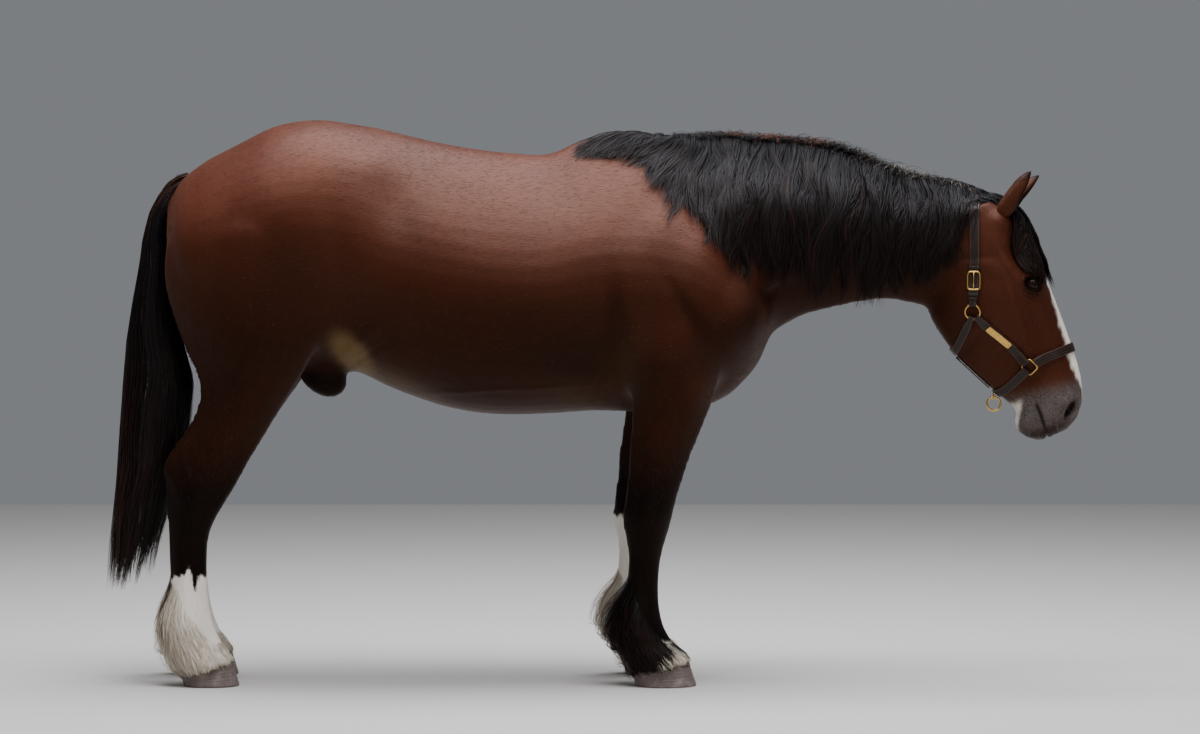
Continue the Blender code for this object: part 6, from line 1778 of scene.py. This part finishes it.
def fold(length, wires):
    """A strap's middle line as distances along the skin and heights over it: each end that has a
    wire folds round it and comes back underneath for 32 mm."""
    main = np.linspace(0, length, max(8, round(length / 0.004)))
    height = np.full(len(main), LAYER)
    ends = []
    for wire, gap, end, way in ((wires[0], main, 0.0, -1), (wires[1], length - main, length, 1)):
        if not wire:
            ends.append((np.array([]), np.array([])))
            continue
        r = wire + THICK / 2 + 0.0003
        over = [RING_LIFT + r, RING_LIFT + r - 0.0005, 2.3 * LAYER, 2.0 * LAYER, LAYER]
        height = np.maximum(height, np.interp(gap, [0, 0.004, 0.022, 0.036, 0.064], over))
        turn = np.linspace(-1.5, 1.45, 9)
        under = np.linspace(0.032, 0.004, 8)
        low = np.interp(under, [0, 0.015], [RING_LIFT - r, LAYER])
        run = np.concatenate([end - way * under, end + way * r * np.cos(turn)])
        high = np.concatenate([low, RING_LIFT + r * np.sin(turn)])
        ends.append((run, high))
    run = np.concatenate([ends[0][0], main, ends[1][0][::-1]])
    return run, np.concatenate([ends[0][1], height, ends[1][1][::-1]])


def strap(name, guides, width, wires=(0, 0), rounds=(0, 0), rows=0.0, holed=(0, 0)):
    """A rounded flat section swept along the folded line. Where it holds a round ring it narrows
    and its fold follows the ring's curve. Returns the line, for what is mounted on the strap."""
    places, out, way, across, high = base_line(guides, width)
    at = run_of(places)
    run, lift = fold(at[-1], wires)
    inside = np.clip(run, 0, at[-1])
    ways, outs, sides = (unit(between(inside, at, values)) for values in (way, out, across))
    lift = lift + np.interp(inside, at, high)
    middle = between(inside, at, places) + ways * (run - inside)[:, None] + outs * lift[:, None]
    up = unit(np.cross(sides, unit(np.gradient(middle, axis=0))))
    turn = turns(20)
    u, v = powered(np.cos(turn), 0.35), powered(np.sin(turn), 0.6) * THICK / 2
    half, shift = np.full(len(run), width / 2), np.zeros((len(run), 20))
    for gap, radius, sign in ((run, rounds[0], -1), (at[-1] - run, rounds[1], 1)):
        if radius:
            half *= np.interp(gap, [0.010, 0.032], [0.70, 1.0])
            off = half[:, None] * u
            drop = radius - np.sqrt(radius**2 - np.minimum(np.abs(off), 0.9 * radius) ** 2)
            shift += sign * drop * np.interp(gap, [0.006, 0.030], [1, 0])[:, None]
    off = half[:, None] * u
    points = middle[:, None] + sides[:, None] * off[..., None]
    points = points + up[:, None] * v[:, None] + ways[:, None] * shift[..., None]
    mesh = tube(name + "_leather", points)
    held = (run > holed[0]) * (run < holed[1])
    fields = {"run": run, "edge": half, "rows": 0 * run + rows, "holed": held}
    carry(mesh, off=off, **{key: np.repeat(values, 20) for key, values in fields.items()})
    piece(mesh, leather, "halter_leather", name)
    return ways, sides, middle, up, run


# Dark brown bridle leather: a waxed face with a fine grain, paler where the edges rub, and a row
# of thread in short stitches 3.5 mm in from each edge.
STITCH_INSET, STITCH_HALF, STITCH_PITCH = 0.0035, 0.0007, 0.0042
HOLE_PITCH, HOLE_RADIUS = 0.027, 0.0022


def within(tree, value, centre, half):
    """1 where a value is within half of a centre, and 0 elsewhere."""
    away = node(tree, "Math", {0: value, 1: centre}, operation="SUBTRACT")
    away = node(tree, "Math", {0: away}, operation="ABSOLUTE")
    return node(tree, "Math", {0: away, 1: half}, operation="LESS_THAN")


def leather_surface(tree):
    """Off is how far a point lies from the strap's middle line, edge half the strap's width there
    and run the length along it. Rows marks a second row of stitches, and holed the buckle's holes."""
    place = node(tree, "TexCoord", output="Object")
    off, run, edge, rows, holed = (
        node(tree, "Attribute", output="Fac", attribute_name=name)
        for name in ("off", "run", "edge", "rows", "holed")
    )
    inset = node(tree, "Math", {0: off}, operation="ABSOLUTE")
    worn = node(tree, "Math", {0: edge, 1: inset}, operation="SUBTRACT")
    second = within(tree, inset, 0.0040, STITCH_HALF)
    second = node(tree, "Math", {0: second, 1: rows}, operation="MULTIPLY")
    row = within(tree, worn, STITCH_INSET, STITCH_HALF)
    row = node(tree, "Math", {0: row, 1: second}, operation="MAXIMUM")
    dash = node(tree, "Math", {0: run, 1: STITCH_PITCH}, operation="DIVIDE")
    dash = node(tree, "Math", {0: dash}, operation="FRACT")
    dash = node(tree, "Math", {0: dash, 1: 0.7}, operation="LESS_THAN")
    stitch = node(tree, "Math", {0: row, 1: dash}, operation="MULTIPLY")
    # The buckle's holes are not cut but painted near black: painted shade down each hole.
    along = node(tree, "Math", {0: run, 1: HOLE_PITCH}, operation="MODULO")
    along = node(tree, "Math", {0: along, 1: HOLE_PITCH / 2}, operation="SUBTRACT")
    along = node(tree, "Math", {0: along, 1: 2.0}, operation="POWER")
    across = node(tree, "Math", {0: inset, 1: 2.0}, operation="POWER")
    away = node(tree, "Math", {0: along, 1: across}, operation="ADD")
    painted_hole_shade = node(tree, "Math", {0: away, 1: HOLE_RADIUS**2}, operation="LESS_THAN")
    painted_hole_shade = node(tree, "Math", {0: painted_hole_shade, 1: holed}, operation="MULTIPLY")
    grain = node(tree, "TexVoronoi", {"Vector": place, "Scale": 800.0})
    patches = node(tree, "TexNoise", {"Vector": place, "Scale": 60.0, "Detail": 4.0})
    rubbed = {"Value": worn, "From Min": 0.0022, "From Max": 0.0002, "To Max": 0.55}
    rubbed = node(tree, "MapRange", rubbed)
    layers = (patches, "#24130d"), (rubbed, "#4a2f20"), (stitch, "#4e3a2a"), (painted_hole_shade, "#030202")
    raised = node(tree, "Math", {0: stitch, 1: 2.5, 2: grain}, operation="MULTIPLY_ADD")
    return {
        "Base Color": layered(tree, "#120907", *layers),
        "Normal": node(tree, "Bump", {"Height": raised, "Strength": 0.35, "Distance": 0.0004}),
        "Roughness": node(tree, "MapRange", {"Value": patches, "To Min": 0.38, "To Max": 0.58}),
        "Specular IOR Level": 0.3,
    }


leather = finish("bridle_leather", leather_surface)


def from_ring(ring, radius, way):
    """The place on a ring's wire that faces some way in the side view."""
    way = np.array(way) / math.hypot(*way)
    return ring[0] + radius * way[0], -ring[1], ring[2] + radius * way[1]


crown = [
    from_ring(CHEEK_RING, CHEEK_RADIUS, (0.05, 1)),
    (1.168, -0.112, 1.200),
    (1.170, -0.112, 1.270),
    (1.172, -0.105, 1.380),
    (1.173, -0.080, 1.475),
    (1.173, -0.045, 1.520),
    (1.173, 0, 1.540),
]
nose = [
    from_ring(SQUARE_RING, SQUARE_HALF, (0.81, 0.58)),
    (1.390, -0.070, 0.999),
    (1.420, -0.070, 1.010),
    (1.470, -0.055, 1.028),
    (1.497, -0.028, 1.038),
    (1.503, 0, 1.040),
]
chin = [
    from_ring(SQUARE_RING, SQUARE_HALF, (-0.66, -0.75)),
    (1.300, -0.060, 0.925),
    (1.268, -0.045, 0.895),
    (1.245, 0, 0.885),
]
throat = [
    from_ring(CHEEK_RING, CHEEK_RADIUS, (-0.25, -0.97)),
    (1.138, -0.090, 1.070),
    (1.118, -0.060, 1.025),
    (1.108, 0, 1.010),
]
jaw = [(1.128, 0, 1.003), (1.150, 0, 0.984), (1.180, 0, 0.953), (1.205, 0, 0.926), (1.226, 0, 0.905)]
cheek = [
    from_ring(CHEEK_RING, CHEEK_RADIUS, (0.62, -0.78)),
    (1.215, -0.102, 1.088),
    (1.255, -0.095, 1.055),
    (1.300, -0.082, 1.016),
    from_ring(SQUARE_RING, SQUARE_HALF, (-0.745, 0.667)),
]
both, round_ends = (WIRE, WIRE), (CHEEK_RADIUS, CHEEK_RADIUS)
top = strap("crown_strap", both_ways(crown), 0.031, both, round_ends, holed=(0.135, 0.215))
strap("noseband", both_ways(nose), 0.029, both, rows=1.0)
strap("chin_strap", both_ways(chin), 0.029, both)
strap("throat_strap", both_ways(throat), 0.025, both, round_ends)
strap("jaw_strap", jaw, 0.024)
plated = strap("cheek_strap_right", cheek, 0.028, both, (CHEEK_RADIUS, 0))
strap("cheek_strap_left", [(x, -y, z) for x, y, z in cheek], 0.028, both, (CHEEK_RADIUS, 0))


def keeper(name, line, at, width, layers):
    """A leather loop 9 mm wide round a strap."""
    ways, sides, middle, up, run = line
    k = int(np.argmin(np.abs(run - at) + (up @ np.array([0, -1, 0]) < 0)))
    turn = turns(28)
    u, v = powered(np.cos(turn), 0.45)[:, None], powered(np.sin(turn), 0.5)[:, None]
    half = (0, 0.0045), (0.0012, 0.0043), (0.0016, 0.003)
    rings = []
    for high, along in [(high, -along) for high, along in half] + list(reversed(half)):
        u_half, v_half = width / 2 + 0.0006 + high, layers * THICK / 2 + 0.0004 + high
        rings.append(middle[k] + sides[k] * u * u_half + up[k] * v * v_half + ways[k] * along)
    mesh = tube(name, np.stack(rings, axis=1), loop=True)
    flat = np.zeros(len(mesh.vertices))
    carry(mesh, off=flat, run=flat, edge=flat + 0.01, rows=flat, holed=flat)
    piece(mesh, leather, "halter_leather")


keeper("keeper_upper", top, 0.113, 0.031, 1.0)
keeper("keeper_middle", top, 0.030, 0.0285, 1.9)
keeper("keeper_lower", top, 0.018, 0.024, 2.0)

# Halter brass: cast rings and a buckle, and a blank plate of thin sheet riveted to the cheek.


def frame_ring(name, cad_node, centre, facing, outline, wire):
    """Round wire bent to an outline, which gives the ways up and across for angles round it."""
    first = unit(np.array([0, 0, 1.0]) - facing * facing[2])
    second = np.cross(facing, first)
    up, side = outline(turns(64))
    path = centre + up[:, None] * first + side[:, None] * second
    way = unit(np.roll(path, -1, axis=0) - np.roll(path, 1, axis=0))
    c = turns(12)[:, None]
    across = np.cross(way, facing)[:, None]
    grid = path[:, None] + wire * (across * np.cos(c) + facing * np.sin(c))
    piece(tube(name, grid, loop=True), brass, "halter_brass", cad_node)


def rod(name, path, radius, *nodes):
    """Round wire along an open path."""
    path = np.array(path, float)
    way = unit(np.gradient(path, axis=0))
    first = unit(np.cross(way, np.array([0.3, 0.2, 0.93])))
    second = np.cross(way, first)
    c = turns(12)[:, None]
    grid = path[:, None] + radius * (first[:, None] * np.cos(c) + second[:, None] * np.sin(c))
    piece(tube(name, grid), brass, "halter_brass", *nodes)


# Yellow brass: polished by wear on its faces, duller and browner in fine scratches and smears.
def brass_surface(tree):
    place = node(tree, "TexCoord", output="Object")
    smear = node(tree, "TexNoise", {"Vector": place, "Scale": 90.0, "Detail": 5.0, "Roughness": 0.65})
    scratch = {"Vector": place, "Rotation": (0, 0.7, 0), "Scale": (1500, 1500, 120)}
    scratch = node(tree, "Mapping", scratch)
    scratch = node(tree, "TexNoise", {"Vector": scratch, "Scale": 1.0, "Detail": 2.0})
    rough = {"Value": smear, "From Min": 0.3, "From Max": 0.7, "To Min": 0.20, "To Max": 0.40}
    return {
        "Base Color": layered(tree, "#d8b468", (smear, "#a37c38")),
        "Normal": node(tree, "Bump", {"Height": scratch, "Strength": 0.12, "Distance": 0.0002}),
        "Roughness": node(tree, "MapRange", rough),
        "Metallic": 1.0,
    }


brass = finish("yellow_brass", brass_surface)


def circle(radius):
    """An outline of one radius all round."""
    return lambda a: (radius * np.cos(a), radius * np.sin(a))


def frame_of(tall, wide, power, degrees=0.0):
    """A rounded rectangle: a superellipse of some power, turned by some degrees."""
    def outline(a):
        far = (np.abs(np.cos(a)) ** power + np.abs(np.sin(a)) ** power) ** (-1 / power)
        return turned(tall * far * np.cos(a), wide * far * np.sin(a), -degrees)
    return outline


LEAD_X, LOOP_HALF = 1.243, 0.0095
for side, word in ((-1, "right"), (1, "left")):
    for name, spot, outline, wire in (
        ("cheek_ring_", CHEEK_RING, circle(CHEEK_RADIUS), WIRE),
        ("square_ring_", SQUARE_RING, frame_of(SQUARE_HALF, SQUARE_HALF, 5, 45), WIRE),
    ):
        spots, outs = on_skin(np.array([[spot[0], side * spot[1], spot[2]]]))
        middle = spots[0] + outs[0] * RING_LIFT
        frame_ring(name + word + "_brass", name + word, middle, outs[0], outline, wire)
middle, facing = np.array([LEAD_X, 0, 0.857]), np.array([0, 1.0, 0])
frame_ring("lead_ring_brass", "lead_ring", middle, facing, circle(0.021), 0.0034)
half_round = np.linspace(-math.pi / 2, math.pi / 2, 13)
staple = [(LEAD_X, LOOP_HALF * math.sin(a), 0.8814 - LOOP_HALF * math.cos(a)) for a in half_round]
staple = [(LEAD_X, -LOOP_HALF, 0.8925), *staple, (LEAD_X, LOOP_HALF, 0.8925)]
rod("lead_loop_brass", staple, 0.0022, "lead_loop")

BUCKLE_HALF = 0.0275
ways, _, middle, up, run = top
k = int(np.argmin(np.abs(run - 0.072) + (run < 0.05)))
centre = middle[k] + up[k] * (THICK / 2 + 0.0030)
outline = frame_of(BUCKLE_HALF, 0.019, 5)
frame_ring("crown_buckle_brass", "crown_buckle", centre, up[k], outline, 0.0028)
tongue = (-BUCKLE_HALF, 0.001), (0, 0.0014), (0.029, 0.0035)
tongue = [centre + ways[k] * along + up[k] * high for along, high in tongue]
rod("crown_buckle_tongue", tongue, 0.0016)


def plate_on(line, start, end, width, thick):
    """A thin plate with rounded corners that follows a strap's outer face."""
    _, sides, middle, up, run = line
    outer = (run > 0) & (np.gradient(run) > 0)
    at = np.linspace(start, end, 26)
    seat, out, across = (between(at, run[outer], rows[outer]) for rows in (middle, up, sides))
    out, across = unit(out), unit(across)
    share = (at - start) / (end - start) * 2 - 1
    half = width / 2 * (1 - np.abs(share) ** 22 * 0.35)
    turn = turns(20)
    u, v = powered(np.cos(turn), 0.3), powered(np.sin(turn), 0.6) * thick / 2
    lifted = seat + out * (THICK / 2 + thick / 2 + 0.0003)
    grid = lifted[:, None] + across[:, None] * (half[:, None] * u)[..., None]
    grid = grid + out[:, None] * v[:, None]
    return grid, lifted, out, across


grid, seat, out, across = plate_on(plated, 0.046, 0.140, 0.021, 0.0014)
piece(tube("name_plate_sheet", grid), brass, "halter_brass", "name_plate")
turn = turns(16)[:, None]
rise = np.array([0.0, 0.0005, 0.0010, 0.0012])[:, None, None]
size = np.array([0.0020, 0.0019, 0.0012, 0.0003])[:, None, None]
for k, word in ((2, "upper"), (23, "lower")):
    along = np.cross(out[k], across[k])
    dome = across[k] * np.cos(turn) + along * np.sin(turn)
    rivet = seat[k] + dome * size + out[k] * (rise + 0.0006)
    piece(tube("plate_rivet_" + word, rivet), brass, "halter_brass")

# Lashes and whiskers: stiff single hairs, black on the upper lids and greyer about the lips.


def single_hairs(name, roots, ways, length, white):
    """Tapered hairs that leave the skin some way and droop."""
    count = len(roots)
    t = np.linspace(0, 1, 7)
    size = rng.uniform(*length, count)[:, None]
    paths = roots[:, None] + ways[:, None] * (size * t)[..., None]
    paths[..., 2] -= 0.22 * size * t**2
    facing = unit(np.cross(ways, np.cross(ways, np.array([0, 1.0, 0]))))[:, None] + 0 * paths
    wide = np.broadcast_to(0.0007 * np.interp(t, [0, 0.7, 1], [1, 0.7, 0.15]), (count, 7))
    strands(name, paths, facing, wide, rng.random(count), white=white)


LASHES, WHISKERS = 110, 50
rim = np.concatenate([lid_grids[side][-1 - len(LID_ROLL)] for side in (-1, 1)])
rim_sides = np.repeat([-1, 1], lid_around)
middles = np.array([eye_centre(side) for side in rim_sides])
raised = (rim[:, 2] - middles[:, 2]) * 0.9 + (rim[:, 0] - middles[:, 0]) * 0.3 > 0.002
chosen = rng.choice(np.flatnonzero(raised), LASHES)
away = unit(rim - middles)[chosen] * 0.9
away = away + np.stack([0 * chosen, rim_sides[chosen] * 0.8, 0 * chosen], axis=-1)
away = unit(away + rng.normal(0, 0.12, (LASHES, 3)))
single_hairs("lashes", rim[chosen], away, (0.007, 0.013), 0.0)
down = rng.uniform(0.650, 0.735, WHISKERS)
lower = rng.random(WHISKERS) < 0.7
over = np.where(lower, rng.uniform(-0.19, -0.14, WHISKERS), rng.uniform(-0.11, -0.03, WHISKERS))
x, z = from_head(down, over)
spots, outs = on_skin(np.stack([x, rng.choice([-0.06, 0.06], WHISKERS), z], axis=-1))
away = unit(outs + rng.normal(0, 0.25, (WHISKERS, 3)) + np.array([0, 0, -0.5]))
single_hairs("whiskers", spots, away, (0.012, 0.026), 0.12)

# The floor, light and camera: a pale studio floor, a broad light overhead with a weak one in front,
# and a paler sky all round, with the camera at the photograph's distance and height.

FLOOR = 9  # from its middle to each edge
corners = np.array([(-FLOOR, -FLOOR, 0), (FLOOR, -FLOOR, 0), (FLOOR, FLOOR, 0), (-FLOOR, FLOOR, 0)])
plate = mesh_of("floor", corners, np.array([[0, 1, 2, 3]]))
# Pale matt screed, against which the dark feet stand out.
screed = finish("pale_floor", lambda tree: {"Base Color": "#c2bfb9", "Roughness": 0.85})
plate.materials.append(screed)
placed("floor", plate)

world = bpy.data.worlds.new("studio")
bpy.context.scene.world = world
world.use_nodes = True
sky = world.node_tree.nodes["Background"].inputs
sky["Color"].default_value = colour("#dfe3ea")
sky["Strength"].default_value = 0.27


def soft_light(name, place, aim, size, power, tint):
    """A square lamp at a place, turned to what it lights."""
    lamp = bpy.data.lights.new(name, "AREA")
    lamp.size, lamp.energy, lamp.color = size, power, colour(tint)[:3]
    made = placed(name, lamp)
    made.location = place
    made.rotation_euler = (Vector(aim) - Vector(place)).to_track_quat("-Z", "Y").to_euler()


soft_light("overhead", (0.1, -0.3, 6.0), (0, 0, 1.0), 5.5, 960, "#f6f7ff")
soft_light("front", (3.0, -6.5, 3.6), (0.3, 0, 1.1), 4.0, 80, "#fff6ec")

FOCAL, PICTURE_WIDTH = 3871, 1200  # the photograph's, in its pixels
HORIZON, MIDDLE_ROW = 270.7, 367
camera = bpy.data.cameras.new("camera")
camera.sensor_width = 36
camera.lens = camera.sensor_width * FOCAL / PICTURE_WIDTH
viewer = placed("camera", camera)
viewer.location = (0.0217, -12, 1.27)
viewer.rotation_euler = (math.radians(90) - math.atan((MIDDLE_ROW - HORIZON) / FOCAL), 0, 0)
bpy.context.scene.camera = viewer
